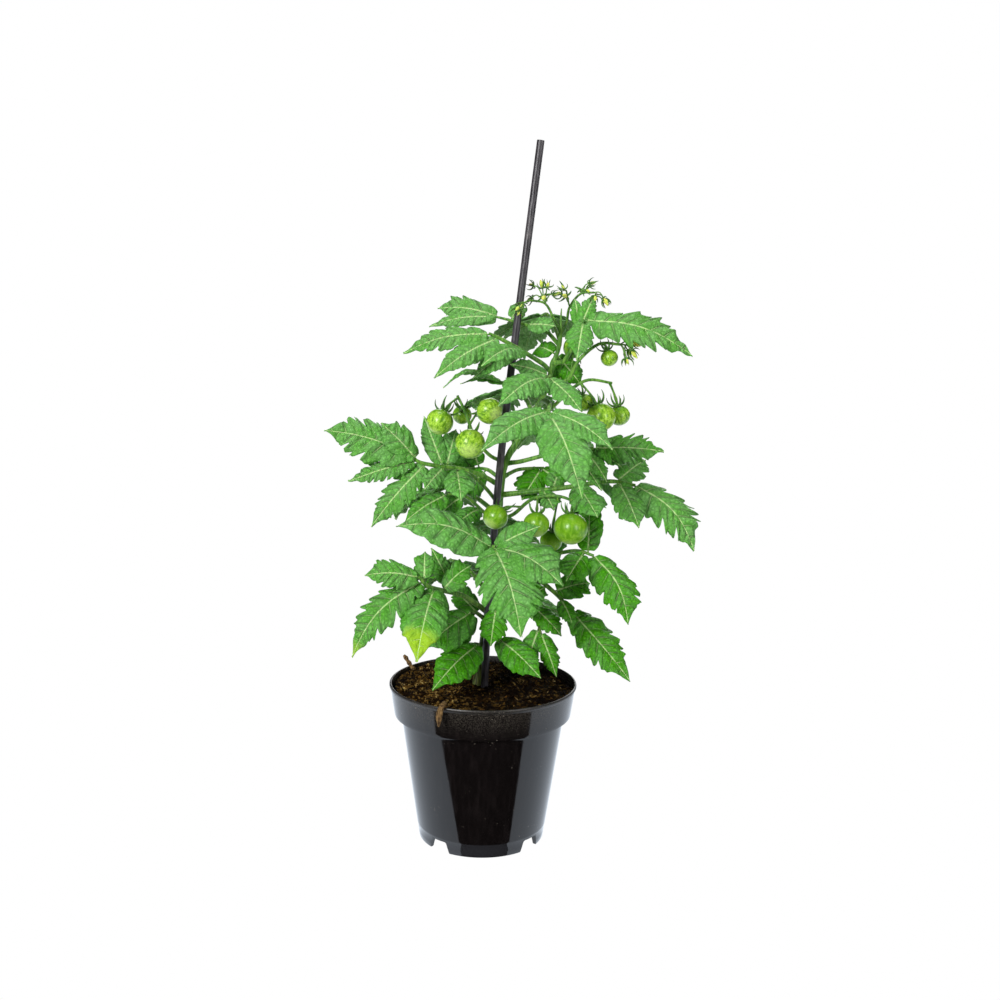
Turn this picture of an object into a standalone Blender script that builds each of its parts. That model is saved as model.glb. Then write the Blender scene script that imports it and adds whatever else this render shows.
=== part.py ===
"""A young bush tomato in a round nursery pot, as separate closed solids.

Metres, +Z up. The front of the plant looks towards -Y. The origin is on the surface that
the pot stands on, under the middle of the whole plant. Tables give places in millimetres
from the foot of the pot's own axis, because a plant is measured by hand with a ruler. The
last step moves every piece from there to its place around the origin.
"""

import math

import bmesh
import bpy
from mathutils import Vector

MM = 0.001
GAP = 0.3                 # clearance between touching pieces, mm
NAME = "tomato_plant"
POT_AXIS = (-15.3, -5.9)  # where the pot's axis stands: the plant spreads unevenly round it, mm

# Pot, all in mm: radii are outside radii
RIM_RADIUS = 65.0
POT_HEIGHT = 110.0
COLLAR_FOOT_RADIUS = 61.2
COLLAR_FOOT_HEIGHT = 88.0
BODY_TOP_RADIUS = 56.6
BASE_RADIUS = 43.6
WALL = 1.5
LIP = 1.8                 # width of the flat top of the lip
FOOT_WIDTH = 2.6          # width of the ring that the pot rests on
FLOOR_UNDER = 6.0
FLOOR_TOP = 7.6
POT_STEPS = 40
NOTCH_COUNT = 4
NOTCH_HEIGHT = 8.0
NOTCH_FOOT_WIDTH = 17.5
NOTCH_TOP_WIDTH = 13.0
NOTCH_FIRST_ANGLE = -40.0  # degrees from the front, seen from above
DRAIN_HOLES = 6
DRAIN_HOLE_RADIUS = 4.0
DRAIN_CIRCLE = 24.0

# Soil, mm
SOIL_EDGE_HEIGHT = 105.0
SOIL_CROWN_HEIGHT = 107.5
SOIL_STEPS = 28

# Stake, mm
STAKE_RADIUS = 2.5
STAKE_ROUTE = [          # the stick bows a little, from its tip in the soil to its top
    (-1, 0, 22), (1, 0, 105), (3.5, 0, 170), (8, 0, 241), (13.2, 0, 299), (23, 0, 387), (33, 0, 475),
]

# Stem: centre points from its foot in the soil to the growing tip, mm
STEM_ROUTE = [
    (-5, 6, 92), (-4, 6, 106), (-2, 7, 122), (1, 8, 142), (5, 8, 173), (8, 8, 208), (10, 8, 240),
    (12, 7, 257), (16, 6, 269), (23, 6, 281), (31, 6, 295), (39, 5, 311), (44, 4, 329),
    (48, 4, 343), (49, 3, 367),
]
STEM_FOOT_RADIUS = 3.2
STEM_TIP_RADIUS = 1.3

# Leaf blades, mm
BLADE_THICKNESS = 0.8
BLADE_SWEEP = 32.0        # degrees that the side veins lean towards the tip
STALK_TIP_RATIO = 0.62    # a leaf stalk's end radius over its start radius

FRONT = (0.0, -1.0)       # compass heading that most of the leaves turn their faces to

# Leaves on the front half, from the soil up. Each row: stem height, stalk radius, stalk
# points, then leaflets as (how far along the stalk, tip, width, turn of the face, arch).
# The turn is 0 where the blade faces the sky and 90 where it faces the front.
FRONT_LEAVES = [
    (133, 1.3, [(-6, 2, 136), (-3, -7, 138)], [(0.95, (-32, -48, 120), 25, 50, 5)]),
    (138, 1.2, [(8, 4, 141), (10, -6, 142)], [(0.95, (39, -42, 124), 21, 50, 5)]),
    (151, 1.4, [(-5, 2, 158), (-8, -4, 160)], [
        (0.62, (-24, -10, 134), 16, 60, 2),
        (0.30, (-22, 17, 172), 15, 70, 2),
        (0.95, (-38, -28, 142), 26, 50, 4),
    ]),
    (159, 1.2, [(10, 2, 164), (8, -8, 164)], [(0.95, (5, -27, 143), 17, 60, 3)]),
    (164, 1.5, [(20, 2, 172), (32, -4, 168), (39, -9, 148)], [
        (0.38, (33, -22, 160), 17, 50, 3),
        (0.50, (42, -2, 178), 13, 60, 2),
        (0.62, (53, -16, 147), 14, 50, 3),
        (0.93, (29, -9, 123), 13, 60, 2),
        (0.98, (50, -21, 120), 12, 60, 3),
    ]),
    (174, 1.7, [(20, 0, 182), (35, -5, 184), (48, -10, 176), (60, -16, 164)], [
        (0.70, (73, -2, 182), 18, 60, 3),
        (0.80, (60, -27, 158), 11, 40, 3),
        (0.98, (98, -45, 127), 24, 42, 6),
    ]),
    (199, 1.5, [(25, 0, 197), (41, -4, 200), (61, -14, 206), (73, -20, 204)], [
        (0.90, (54, -38, 190), 20, 60, 4),
        (0.94, (71, 2, 235), 19, 75, 3),
        (0.98, (94, -50, 164), 23, 45, 5),
    ]),
    (186, 1.9, [(14, 0, 192), (10, -16, 199), (6, -30, 206), (6, -45, 214)], [
        (0.88, (-56, -58, 228), 30, 42, 8),
        (0.90, (36, -47, 228), 18, 60, 4),
        (0.93, (50, -78, 196), 34, 45, 8),
        (0.98, (24, -97, 169), 38, 45, 9),
    ]),
    (157, 1.8, [(-6, 1, 165), (-16, -16, 175), (-35, -39, 185), (-42, -45, 193)], [
        (0.50, (-36, -10, 206), 12, 60, 2),
        (0.66, (-9, -31, 199), 17, 50, 3),
        (0.78, (-41, -80, 148), 28, 48, 7),
        (0.92, (-39, -34, 208), 13, 60, 2),
        (0.93, (-84, -64, 145), 22, 48, 8),
        (0.98, (-76, -54, 196), 19, 50, 5),
    ]),
    (246, 1.6, [(-3, 3, 254), (-18, -2, 259), (-31, -7, 261), (-44, -11, 264), (-51, -12, 269)], [
        (0.58, (-21, 12, 284), 15, 70, 2),
        (0.62, (-43, 15, 292), 14, 70, 2),
        (0.80, (-74, -30, 222), 19, 50, 5),
        (0.90, (-90, -25, 251), 15, 50, 3),
        (0.98, (-107, -20, 284), 24, 55, 3),
    ]),
    (233, 1.3, [(0, -2, 246), (-10, -10, 256), (-20, -19, 260)], [
        (0.97, (-15, -50, 245), 20, 35, 4),
    ]),
    (218, 1.2, [(-2, 0, 230), (-14, -6, 241), (-26, -13, 243)], [
        (0.70, (-30, 2, 228), 15, 60, 2),
        (0.97, (-52, -32, 228), 17, 50, 3),
    ]),
    (250, 1.4, [(2, 15, 256), (-6, 20, 257)], [
        (0.60, (-14, 14, 240), 16, 60, 2),
        (0.92, (-12, 28, 274), 14, 60, 2),
        (0.96, (-34, 30, 252), 24, 60, 3),
    ]),
    (300, 1.8, [(38, -8, 306), (41, -26, 305), (40, -44, 300)], [
        (0.90, (-1, -85, 283), 24, 50, 6),
        (0.93, (78, -77, 284), 23, 45, 5),
        (0.98, (59, -98, 257), 34, 50, 9),
    ]),
    (319, 1.4, [(42, -4, 322), (40, -14, 321)], [
        (0.80, (61, -45, 302), 17, 40, 3),
        (0.95, (8, -52, 305), 22, 50, 8),
    ]),
    (309, 1.2, [(26, -3, 313), (11, -7, 317)], [
        (0.80, (-18, 3, 315), 7, 20, 5),
        (0.96, (-29, -8, 313), 10, 15, 11),
    ]),
    (325, 1.5, [(36, -3, 331), (21, -10, 340), (8, -14, 347), (1, -16, 350)], [
        (0.45, (-2, -49, 333), 18, 45, 6),
        (0.85, (-33, -42, 324), 17, 50, 4),
        (0.97, (-54, -28, 339), 18, 45, 4),
    ]),
    (343, 1.3, [(40, 4, 351), (32, 4, 354), (18, 6, 358), (5, 8, 361)], [
        (0.52, (45, -7, 355), 13, 60, 2),
        (0.76, (22, 13, 369), 11, 60, 1),
        (0.93, (-34, 14, 365), 15, 55, 3),
        (0.97, (-39, 2, 352), 13, 40, 5),
    ]),
    (330, 1.5, [(52, -1, 333), (59, -4, 348), (64, -5, 360)], [
        (0.80, (58, 8, 374), 9, 60, 1),
        (0.75, (71, 5, 377), 11, 60, 2),
        (0.94, (58, -30, 335), 17, 60, 4),
        (0.97, (134, -22, 339), 25, 50, 8),
    ]),
    (262, 1.5, [(24, 3, 264), (40, -2, 269), (56, -7, 273), (72, -10, 275)], [
        (0.88, (80, -27, 256), 11, 45, 2),
        (0.94, (91, -14, 264), 8, 45, 1),
        (0.98, (117, -22, 276), 21, 50, 2),
    ]),
    (240, 1.7, [(30, 4, 243), (55, 0, 247), (77, -8, 252), (88, -12, 253), (100, -15, 251)], [
        (0.70, (85, 16, 245), 19, 60, 2),
        (0.86, (110, 20, 263), 18, 50, 3),
        (0.87, (100, -42, 226), 19, 45, 4),
        (0.98, (137, -34, 210), 25, 45, 7),
    ]),
    (252, 1.3, [(22, 13, 257), (40, 18, 258)], [(0.95, (25, 8, 237), 19, 70, 3)]),
    (332, 1.2, [(46, 12, 337)], [
        (0.85, (34, 27, 341), 15, 60, 2),
        (0.90, (64, 10, 316), 15, 70, 2),
        (0.95, (52, 14, 310), 13, 75, 3),
    ]),
]

# Leaves on the far half, by rule: stem height, compass heading in degrees (0 is +X, 90 is
# straight back), reach and climb of the stalk's end, mm
BACK_LEAVES = [
    (145, 60, 62, 12),
    (168, 118, 66, 14),
    (196, 84, 60, 18),
    (226, 140, 58, 14),
    (268, 58, 60, 16),
    (296, 104, 56, 14),
    (348, 106, 40, 14),
]
BACK_STALK_RADIUS = 1.6
BACK_PAIRS = [(0.52, 34.0, 14.0), (0.78, 42.0, 17.0)]   # along the stalk, leaflet length, width
BACK_TIP_LEAFLET = (50.0, 22.0)                         # length and width of the end leaflet
BACK_PAIR_ANGLE = 58.0                                  # degrees between a side leaflet and the stalk
BACK_PAIR_STAGGER = 0.03                                # the two of a pair don't quite face each other
BACK_DROOP = 24.0                                       # degrees that the leaflets hang below level

# Fruit: truss routes start on the stem at a height; each tomato hangs from one of them
TRUSSES = {
    "truss_left": (262, [(2, 5, 268), (-8, 2, 280), (-14, 3, 296), (-20, 4, 308)]),
    "truss_right": (296, [(44, 2, 301), (56, 0, 313), (68, -1, 320), (84, 1, 318)]),
    "truss_upper": (313, [(55, 0, 321), (61, -3, 333), (74, -5, 344), (88, -8, 344)]),
    "truss_centre": (222, [(20, 3, 228), (32, -8, 240), (48, -14, 243), (60, -18, 240)]),
    "truss_back": (182, [(12, 19, 192), (18, 30, 198), (28, 36, 197)]),
}
# Each tomato: truss, how far along it, centre, radius
TOMATOES = [
    ("truss_left", 0.97, (-31, -8, 291), 9.0),
    ("truss_left", 0.85, (-17, 16, 294), 6.6),
    ("truss_left", 0.62, (2, -13, 299), 8.7),
    ("truss_left", 0.40, (-10, -33, 279), 9.8),
    ("truss_right", 0.62, (76, -12, 296), 9.8),
    ("truss_right", 0.97, (90, 7, 296), 7.3),
    ("truss_right", 0.45, (66, -3, 305), 6.0),
    ("truss_upper", 0.80, (81, -6, 335), 5.8),
    ("truss_centre", 0.30, (7, -25, 230), 8.4),
    ("truss_centre", 0.55, (34, -29, 226), 8.6),
    ("truss_centre", 0.97, (57, -25, 223), 11.3),
    ("truss_centre", 0.80, (45, -6, 211), 7.6),
    ("truss_upper", 0.30, (58, 9, 341), 7.0),
    ("truss_back", 0.60, (14, 34, 180), 9.0),
    ("truss_back", 0.97, (34, 38, 178), 9.6),
]
TOMATO_FLATTENING = 0.95
TRUSS_RADIUS = 1.3
PEDICEL_RADIUS = 0.8
CALYX_RADIUS = 2.6
CALYX_HEIGHT = 0.9

# Flower trusses at the top: routes and the side branches that carry the buds, mm
FLOWER_TRUSSES = {
    "flowers_left": (352, [(44, 1, 360), (38, 0, 370), (28, -4, 372)], [
        [(40, 1, 368), (39, -6, 381)],
        [(36, 0, 371), (30, 6, 382)],
        [(28, -4, 372), (21, -9, 365)],
    ]),
    "flowers_right": (348, [(53, 9, 358), (55, 14, 368), (62, 14, 377), (71, 9, 378)], [
        [(55, 14, 368), (51, 10, 380)],
        [(62, 14, 377), (68, 16, 384)],
        [(71, 9, 378), (77, 2, 374)],
    ]),
}
FLOWER_STALK_RADIUS = 0.9
BUD_STALK_RADIUS = 0.7

# Loose bark: the chip is bent over the lip, and the twig leans out over it; points and radii, mm
LOOSE_BARK = {
    "wood_chip": ([(-23, -52.5, 109.6), (-24.5, -58.6, 112.6), (-27, -64, 108), (-27.5, -65, 99)], 1.8, 1.4),
    "bark_twig": ([(-50, 30.5, 107.6), (-54, 33, 112.6), (-58, 34.5, 118)], 1.5, 1.2),
}


def clear_scene():
    for obj in list(bpy.data.objects):
        bpy.data.objects.remove(obj, do_unlink=True)


def new_collection(name):
    collection = bpy.data.collections.new(name)
    bpy.context.scene.collection.children.link(collection)
    return collection


def new_material(name, colour, roughness):
    material = bpy.data.materials.new(name)
    material.use_nodes = True
    shader = material.node_tree.nodes["Principled BSDF"]
    shader.inputs["Base Color"].default_value = (*colour, 1.0)
    shader.inputs["Roughness"].default_value = roughness
    shader.inputs["Metallic"].default_value = 0.0
    return material


def add_object(name, mesh, material, collection):
    obj = bpy.data.objects.new(name, mesh)
    obj.data.materials.clear()
    obj.data.materials.append(material)
    collection.objects.link(obj)
    return obj


def hide_as_cutter(obj):
    obj.hide_render = True
    obj.display_type = "WIRE"


def mesh_of(obj):
    """The evaluated mesh of an object, with its loose caps welded, in the object's own frame."""
    depsgraph = bpy.context.evaluated_depsgraph_get()
    mesh = bpy.data.meshes.new_from_object(obj.evaluated_get(depsgraph))
    shape = bmesh.new()
    shape.from_mesh(mesh)
    bmesh.ops.remove_doubles(shape, verts=shape.verts, dist=0.01 * MM)
    shape.to_mesh(mesh)
    shape.free()
    return mesh


def smooth_route(points, steps):
    """Catmull-Rom points through a hand-made route, `steps` to each of its spans."""
    padded = [points[0] * 2 - points[1], *points, points[-1] * 2 - points[-2]]
    route = []
    for i in range(len(points) - 1):
        a, b, c, d = padded[i:i + 4]
        for k in range(steps):
            t = k / steps
            route.append(0.5 * (2 * b + (c - a) * t + (2 * a - 5 * b + 4 * c - d) * t ** 2
                                + (3 * b - 3 * c + d - a) * t ** 3))
    return [*route, points[-1]]


def tube(name, route, start_radius, end_radius, sides_level=1):
    """A tapering solid stalk along a route in mm, as a mesh object of its own."""
    curve = bpy.data.curves.new(name, "CURVE")
    curve.dimensions = "3D"
    curve.bevel_depth = MM
    curve.bevel_resolution = sides_level
    curve.use_fill_caps = True
    spline = curve.splines.new("POLY")
    spline.points.add(len(route) - 1)
    for i, (point, spot) in enumerate(zip(spline.points, route)):
        share = i / (len(route) - 1)
        point.co = (*(spot * MM), 1.0)
        point.radius = start_radius + (end_radius - start_radius) * share
    guide = bpy.data.objects.new(name, curve)
    bpy.context.scene.collection.objects.link(guide)
    mesh = mesh_of(guide)
    bpy.data.objects.remove(guide)
    return mesh


def along_route(route, share):
    """The point at a share of a route's length."""
    lengths = [(b - a).length for a, b in zip(route, route[1:])]
    left = share * sum(lengths)
    for start, end, length in zip(route, route[1:], lengths):
        if left <= length:
            return start.lerp(end, left / length)
        left -= length
    return route[-1]


def trimmed(route, distance):
    """A route without its first stretch, so that a stalk stops short of the stem's skin."""
    total = sum((b - a).length for a, b in zip(route, route[1:]))
    start = along_route(route, distance / total)
    rest = [p for i, p in enumerate(route)
            if sum((b - a).length for a, b in zip(route[:i + 1], route[1:i + 1])) > distance + 1.0]
    return [start, *rest]


def stem_at(height):
    """Centre and radius of the stem at a height."""
    route = [Vector(p) for p in STEM_ROUTE]
    for low, high in zip(route, route[1:]):
        if low.z <= height <= high.z:
            share = (height - route[0].z) / (route[-1].z - route[0].z)
            radius = STEM_FOOT_RADIUS + (STEM_TIP_RADIUS - STEM_FOOT_RADIUS) * share
            return low.lerp(high, (height - low.z) / (high.z - low.z)), radius
    return route[-1], STEM_TIP_RADIUS


def stalk_route(height, points):
    """From the stem's axis through the route's points, cut back to clear the stem's skin."""
    start, radius = stem_at(height)
    smooth = smooth_route([start, *[Vector(p) for p in points]], 1 if len(points) > 2 else 2)
    return trimmed(smooth, radius + 2.2)


def blade_outline(share):
    """Half width of a leaflet over its full half width, from its base (0) to its tip (1)."""
    return max(0.06, math.sin(math.pi * share ** 0.72)) ** 0.85


def blade(name, base, tip, width, turn, arch, facing):
    """One leaflet as a thin closed slab, arched along its midrib and drooping at its margins."""
    chord = tip - base
    along = chord.normalized()
    turned = math.radians(turn)
    up = Vector((facing[0] * math.sin(turned), facing[1] * math.sin(turned), math.cos(turned)))
    face = (up - along * up.dot(along)).normalized()
    side = along.cross(face)
    sweep = math.radians(BLADE_SWEEP)
    shape = bmesh.new()
    bmesh.ops.create_grid(shape, x_segments=2, y_segments=4, size=1.0)
    for vert in shape.verts:
        across = vert.co.x
        share = (vert.co.y + 1) / 2
        half = width / 2 * blade_outline(share)
        lean = sweep * math.sqrt(share)
        spot = base + chord * share + face * (arch * math.sin(math.pi * share))
        spot += side * (across * half * math.cos(lean))
        spot += along * (abs(across) * half * math.sin(lean) * (1 - share))
        spot += face * (half * (0.12 * abs(across) - 0.32 * across ** 2))
        vert.co = spot * MM
    mesh = bpy.data.meshes.new(name)
    shape.to_mesh(mesh)
    shape.free()
    sheet = bpy.data.objects.new(name, mesh)
    bpy.context.scene.collection.objects.link(sheet)
    wall = sheet.modifiers.new("thickness", "SOLIDIFY")
    wall.thickness = BLADE_THICKNESS * MM
    wall.offset = 0.0
    solid = mesh_of(sheet)
    bpy.data.objects.remove(sheet)
    return solid


def joined(name, meshes, material, collection, cutters):
    """Union of overlapping solids: the first one carries a Boolean for each of the others."""
    obj = add_object(name, meshes[0], material, collection)
    for i, mesh in enumerate(meshes[1:]):
        other = add_object(f"{name}_join_{i}", mesh, material, cutters)
        hide_as_cutter(other)
        union = obj.modifiers.new(f"join_{i}", "BOOLEAN")
        union.operation = "UNION"
        union.solver = "EXACT"
        union.object = other
    obj.data = bpy.data.meshes.new_from_object(
        obj.evaluated_get(bpy.context.evaluated_depsgraph_get()))
    obj.modifiers.clear()
    for other in [o for o in cutters.objects if o.name.startswith(f"{name}_join_")]:
        bpy.data.objects.remove(other)
    return obj


def make_leaf(name, height, radius, points, leaflets, facing, material, collection, cutters):
    route = stalk_route(height, points)
    meshes = [tube(name, route, radius, radius * STALK_TIP_RATIO)]
    for share, tip, width, turn, arch in leaflets:
        base = along_route(route, share)
        meshes.append(blade(name, base, Vector(tip), width, turn, arch, facing))
    return joined(name, meshes, material, collection, cutters)


def back_leaf(height, heading, reach, climb):
    """Stalk points and leaflets of a whole compound leaf, in pairs with one at the end."""
    start, _ = stem_at(height)
    out = Vector((math.cos(math.radians(heading)), math.sin(math.radians(heading)), 0.0))
    across = Vector((-out.y, out.x, 0.0))
    points = [start + out * (reach * s) + Vector((0, 0, climb * math.sin(math.pi * 0.62 * s) * 1.1))
              for s in (0.35, 0.7, 1.0)]
    route = stalk_route(height, points)
    drop = math.tan(math.radians(BACK_DROOP))
    angle = math.radians(BACK_PAIR_ANGLE)
    leaflets = []
    for share, length, width in BACK_PAIRS:
        for hand in (-1, 1):
            heading_out = out * math.cos(angle) + across * (hand * math.sin(angle))
            place_along = share + hand * BACK_PAIR_STAGGER
            tip = along_route(route, place_along) + (heading_out - Vector((0, 0, drop))) * length
            leaflets.append((place_along, tip, width, 28, 3.0))
    length, width = BACK_TIP_LEAFLET
    end = route[-1] + (out - Vector((0, 0, drop * 1.5))) * length * 0.85
    leaflets.append((0.98, end, width, 38, 5.0))
    return points, leaflets, (out.x, out.y)


def make_pot(material, collection, cutters):
    inner_foot = BASE_RADIUS - FOOT_WIDTH
    floor_radius = BASE_RADIUS + (BODY_TOP_RADIUS - BASE_RADIUS) * FLOOR_TOP / COLLAR_FOOT_HEIGHT - WALL
    profile = [
        (0.0, FLOOR_TOP),
        (floor_radius, FLOOR_TOP),
        (BODY_TOP_RADIUS - WALL, COLLAR_FOOT_HEIGHT - 1.0),
        (COLLAR_FOOT_RADIUS - WALL, COLLAR_FOOT_HEIGHT + 1.0),
        (RIM_RADIUS - LIP - 0.2, POT_HEIGHT - 2.0),
        (RIM_RADIUS - LIP + 0.3, POT_HEIGHT - 0.4),
        (RIM_RADIUS - LIP + 0.7, POT_HEIGHT),
        (RIM_RADIUS - 0.7, POT_HEIGHT),
        (RIM_RADIUS, POT_HEIGHT - 0.8),
        (RIM_RADIUS - 0.1, POT_HEIGHT - 2.0),
        (RIM_RADIUS - 0.9, POT_HEIGHT - 3.0),
        (COLLAR_FOOT_RADIUS, COLLAR_FOOT_HEIGHT),
        (BODY_TOP_RADIUS, COLLAR_FOOT_HEIGHT - 0.8),
        (BASE_RADIUS + 0.5, 0.8),
        (BASE_RADIUS, 0.0),
        (inner_foot, 0.0),
        (inner_foot - 0.6, FLOOR_UNDER),
        (0.0, FLOOR_UNDER),
    ]
    pot = turned("pot", profile, POT_STEPS, material, collection)
    pot.data = mesh_of(pot)
    pot.modifiers.clear()
    for i in range(NOTCH_COUNT):
        cut(pot, notch_cutter(i, material, cutters))
    for i in range(DRAIN_HOLES):
        cut(pot, drain_cutter(i, material, cutters))
    return pot


def turned(name, profile, steps, material, collection):
    """A turned solid: the profile runs down its outer side, and a Screw turns it."""
    mesh = bpy.data.meshes.new(name)
    shape = bmesh.new()
    verts = [shape.verts.new((radius * MM, 0.0, height * MM)) for radius, height in profile]
    for a, b in zip(verts, verts[1:]):
        shape.edges.new((a, b))
    shape.to_mesh(mesh)
    shape.free()
    obj = add_object(name, mesh, material, collection)
    screw = obj.modifiers.new("turn", "SCREW")
    screw.steps = steps
    screw.render_steps = steps
    screw.use_merge_vertices = True
    screw.merge_threshold = 0.00001
    return obj


def cut(obj, cutter):
    boolean = obj.modifiers.new(f"cut_{cutter.name}", "BOOLEAN")
    boolean.operation = "DIFFERENCE"
    boolean.solver = "EXACT"
    boolean.object = cutter


def front_angle(degrees):
    """Heading of a place on the pot, from the front (-Y) towards +X, as an angle about Z."""
    return math.radians(degrees - 90.0)


def notch_cutter(index, material, cutters):
    """A drain notch's outline, narrower at the top, pushed through the wall along a radius."""
    outline = [
        (-NOTCH_FOOT_WIDTH / 2 - 0.3, -1.0), (NOTCH_FOOT_WIDTH / 2 + 0.3, -1.0),
        (NOTCH_TOP_WIDTH / 2, NOTCH_HEIGHT - 1.6), (NOTCH_TOP_WIDTH / 2 - 1.8, NOTCH_HEIGHT),
        (1.8 - NOTCH_TOP_WIDTH / 2, NOTCH_HEIGHT), (-NOTCH_TOP_WIDTH / 2, NOTCH_HEIGHT - 1.6),
    ]
    curve = bpy.data.curves.new(f"notch_{index}", "CURVE")
    curve.dimensions = "2D"
    curve.fill_mode = "BOTH"
    curve.extrude = 7.0 * MM
    spline = curve.splines.new("POLY")
    spline.points.add(len(outline) - 1)
    for point, (x, y) in zip(spline.points, outline):
        point.co = (x * MM, y * MM, 0.0, 1.0)
    spline.use_cyclic_u = True
    guide = bpy.data.objects.new(f"notch_{index}_outline", curve)
    bpy.context.scene.collection.objects.link(guide)
    cutter = add_object(f"notch_{index}", mesh_of(guide), material, cutters)
    bpy.data.objects.remove(guide)
    angle = front_angle(NOTCH_FIRST_ANGLE + index * 360.0 / NOTCH_COUNT)
    middle = (BASE_RADIUS + 0.5) * MM
    cutter.location = (middle * math.cos(angle), middle * math.sin(angle), 0.0)
    cutter.rotation_euler = (math.pi / 2, 0.0, angle + math.pi / 2)
    hide_as_cutter(cutter)
    return cutter


def drain_cutter(index, material, cutters):
    shape = bmesh.new()
    bmesh.ops.create_cone(shape, cap_ends=True, segments=12, radius1=DRAIN_HOLE_RADIUS * MM,
                          radius2=DRAIN_HOLE_RADIUS * MM, depth=8.0 * MM)
    mesh = bpy.data.meshes.new(f"drain_{index}")
    shape.to_mesh(mesh)
    shape.free()
    cutter = add_object(f"drain_{index}", mesh, material, cutters)
    angle = index * 2 * math.pi / DRAIN_HOLES
    cutter.location = Vector((DRAIN_CIRCLE * math.cos(angle), DRAIN_CIRCLE * math.sin(angle), FLOOR_TOP)) * MM
    hide_as_cutter(cutter)
    return cutter


def make_soil(material, collection, cutters):
    """The root ball: it fills the pot's inside, and has sockets for the stem and the stake."""
    floor = FLOOR_TOP + GAP
    slope = (BODY_TOP_RADIUS - BASE_RADIUS) / COLLAR_FOOT_HEIGHT
    bottom = BASE_RADIUS + slope * floor - WALL - GAP
    collar_slope = (RIM_RADIUS - LIP - COLLAR_FOOT_RADIUS + WALL) / (POT_HEIGHT - COLLAR_FOOT_HEIGHT - 3.0)
    edge_height = SOIL_EDGE_HEIGHT
    edge = COLLAR_FOOT_RADIUS - WALL - 2 * GAP + collar_slope * (edge_height - COLLAR_FOOT_HEIGHT - 1.0)
    profile = [
        (0.0, SOIL_CROWN_HEIGHT), (30.0, SOIL_CROWN_HEIGHT - 0.4), (52.0, SOIL_CROWN_HEIGHT - 1.2),
        (edge, edge_height),
        (COLLAR_FOOT_RADIUS - WALL - 2 * GAP, COLLAR_FOOT_HEIGHT + 1.0),
        (BODY_TOP_RADIUS - WALL - 2 * GAP, COLLAR_FOOT_HEIGHT - 1.0),
        (bottom - GAP, floor), (0.0, floor),
    ]
    soil = turned("soil", profile, SOIL_STEPS, material, collection)
    stem = [Vector(p) for p in STEM_ROUTE[:3]]
    foot = stem[0] - Vector((0, 0, GAP))
    socket = add_object("stem_socket", tube("stem_socket", [foot, *stem[1:]],
                        STEM_FOOT_RADIUS + 2 * GAP, STEM_FOOT_RADIUS + 2 * GAP, 3), material, cutters)
    hide_as_cutter(socket)
    stick = [Vector(p) for p in STAKE_ROUTE]
    tip = stick[0] - (stick[1] - stick[0]).normalized() * GAP
    hole = add_object("stake_socket", tube("stake_socket", [tip, *stick[1:3]],
                      STAKE_RADIUS + 1.5 * GAP, STAKE_RADIUS + 1.5 * GAP, 3), material, cutters)
    hide_as_cutter(hole)
    cut(soil, socket)
    cut(soil, hole)
    return soil


def make_stake(material, collection):
    route = [Vector(p) for p in STAKE_ROUTE]
    return add_object("stake", tube("stake", route, STAKE_RADIUS, STAKE_RADIUS, 3), material, collection)


def make_stem(material, collection):
    route = [Vector(p) for p in STEM_ROUTE]
    return add_object("main_stem", tube("main_stem", route, STEM_FOOT_RADIUS, STEM_TIP_RADIUS, 2),
                      material, collection)


def hanging_direction(centre, from_point):
    """Where a tomato's stalk end points: towards its place on the truss, and mostly upwards."""
    pull = (from_point - centre).normalized()
    return (pull + Vector((0, 0, 0.6))).normalized()


def make_tomato(name, centre, radius, axis, material, collection):
    shape = bmesh.new()
    bmesh.ops.create_uvsphere(shape, u_segments=12, v_segments=7, radius=radius * MM)
    for vert in shape.verts:
        vert.co.z *= TOMATO_FLATTENING
    turn = Vector((0, 0, 1)).rotation_difference(axis).to_matrix().to_4x4()
    bmesh.ops.transform(shape, matrix=turn, verts=shape.verts)
    bmesh.ops.translate(shape, vec=centre * MM, verts=shape.verts)
    mesh = bpy.data.meshes.new(name)
    shape.to_mesh(mesh)
    shape.free()
    mesh.shade_smooth()
    return add_object(name, mesh, material, collection)


def calyx_cap(name, centre, radius, axis):
    """The small green cap between a tomato and its stalk, 0.3 mm off the fruit."""
    shape = bmesh.new()
    bmesh.ops.create_cone(shape, cap_ends=True, segments=8, radius1=CALYX_RADIUS * MM * 0.9,
                          radius2=PEDICEL_RADIUS * MM, depth=CALYX_HEIGHT * MM)
    turn = Vector((0, 0, 1)).rotation_difference(axis).to_matrix().to_4x4()
    bmesh.ops.transform(shape, matrix=turn, verts=shape.verts)
    middle = centre + axis * (radius * TOMATO_FLATTENING + GAP + CALYX_HEIGHT / 2)
    bmesh.ops.translate(shape, vec=middle * MM, verts=shape.verts)
    mesh = bpy.data.meshes.new(name)
    shape.to_mesh(mesh)
    shape.free()
    return mesh, middle


def make_trusses(stalk, fruit, collection, cutters):
    for name, (height, points) in TRUSSES.items():
        route = stalk_route(height, points)
        meshes = [tube(name, route, TRUSS_RADIUS, TRUSS_RADIUS * 0.7)]
        number = 0
        for truss, share, spot, radius in TOMATOES:
            if truss != name:
                continue
            number += 1
            centre = Vector(spot)
            anchor = along_route(route, share)
            axis = hanging_direction(centre, anchor)
            cap, middle = calyx_cap(name, centre, radius, axis)
            knee = middle.lerp(anchor, 0.5) + Vector((0, 0, 1.5))
            meshes.append(tube(name, [anchor, knee, middle], PEDICEL_RADIUS, PEDICEL_RADIUS))
            meshes.append(cap)
            suffix = name.replace("truss_", "")
            make_tomato(f"tomato_{suffix}_{number}", centre, radius, axis, fruit, collection)
        joined(name, meshes, stalk, collection, cutters)


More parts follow.
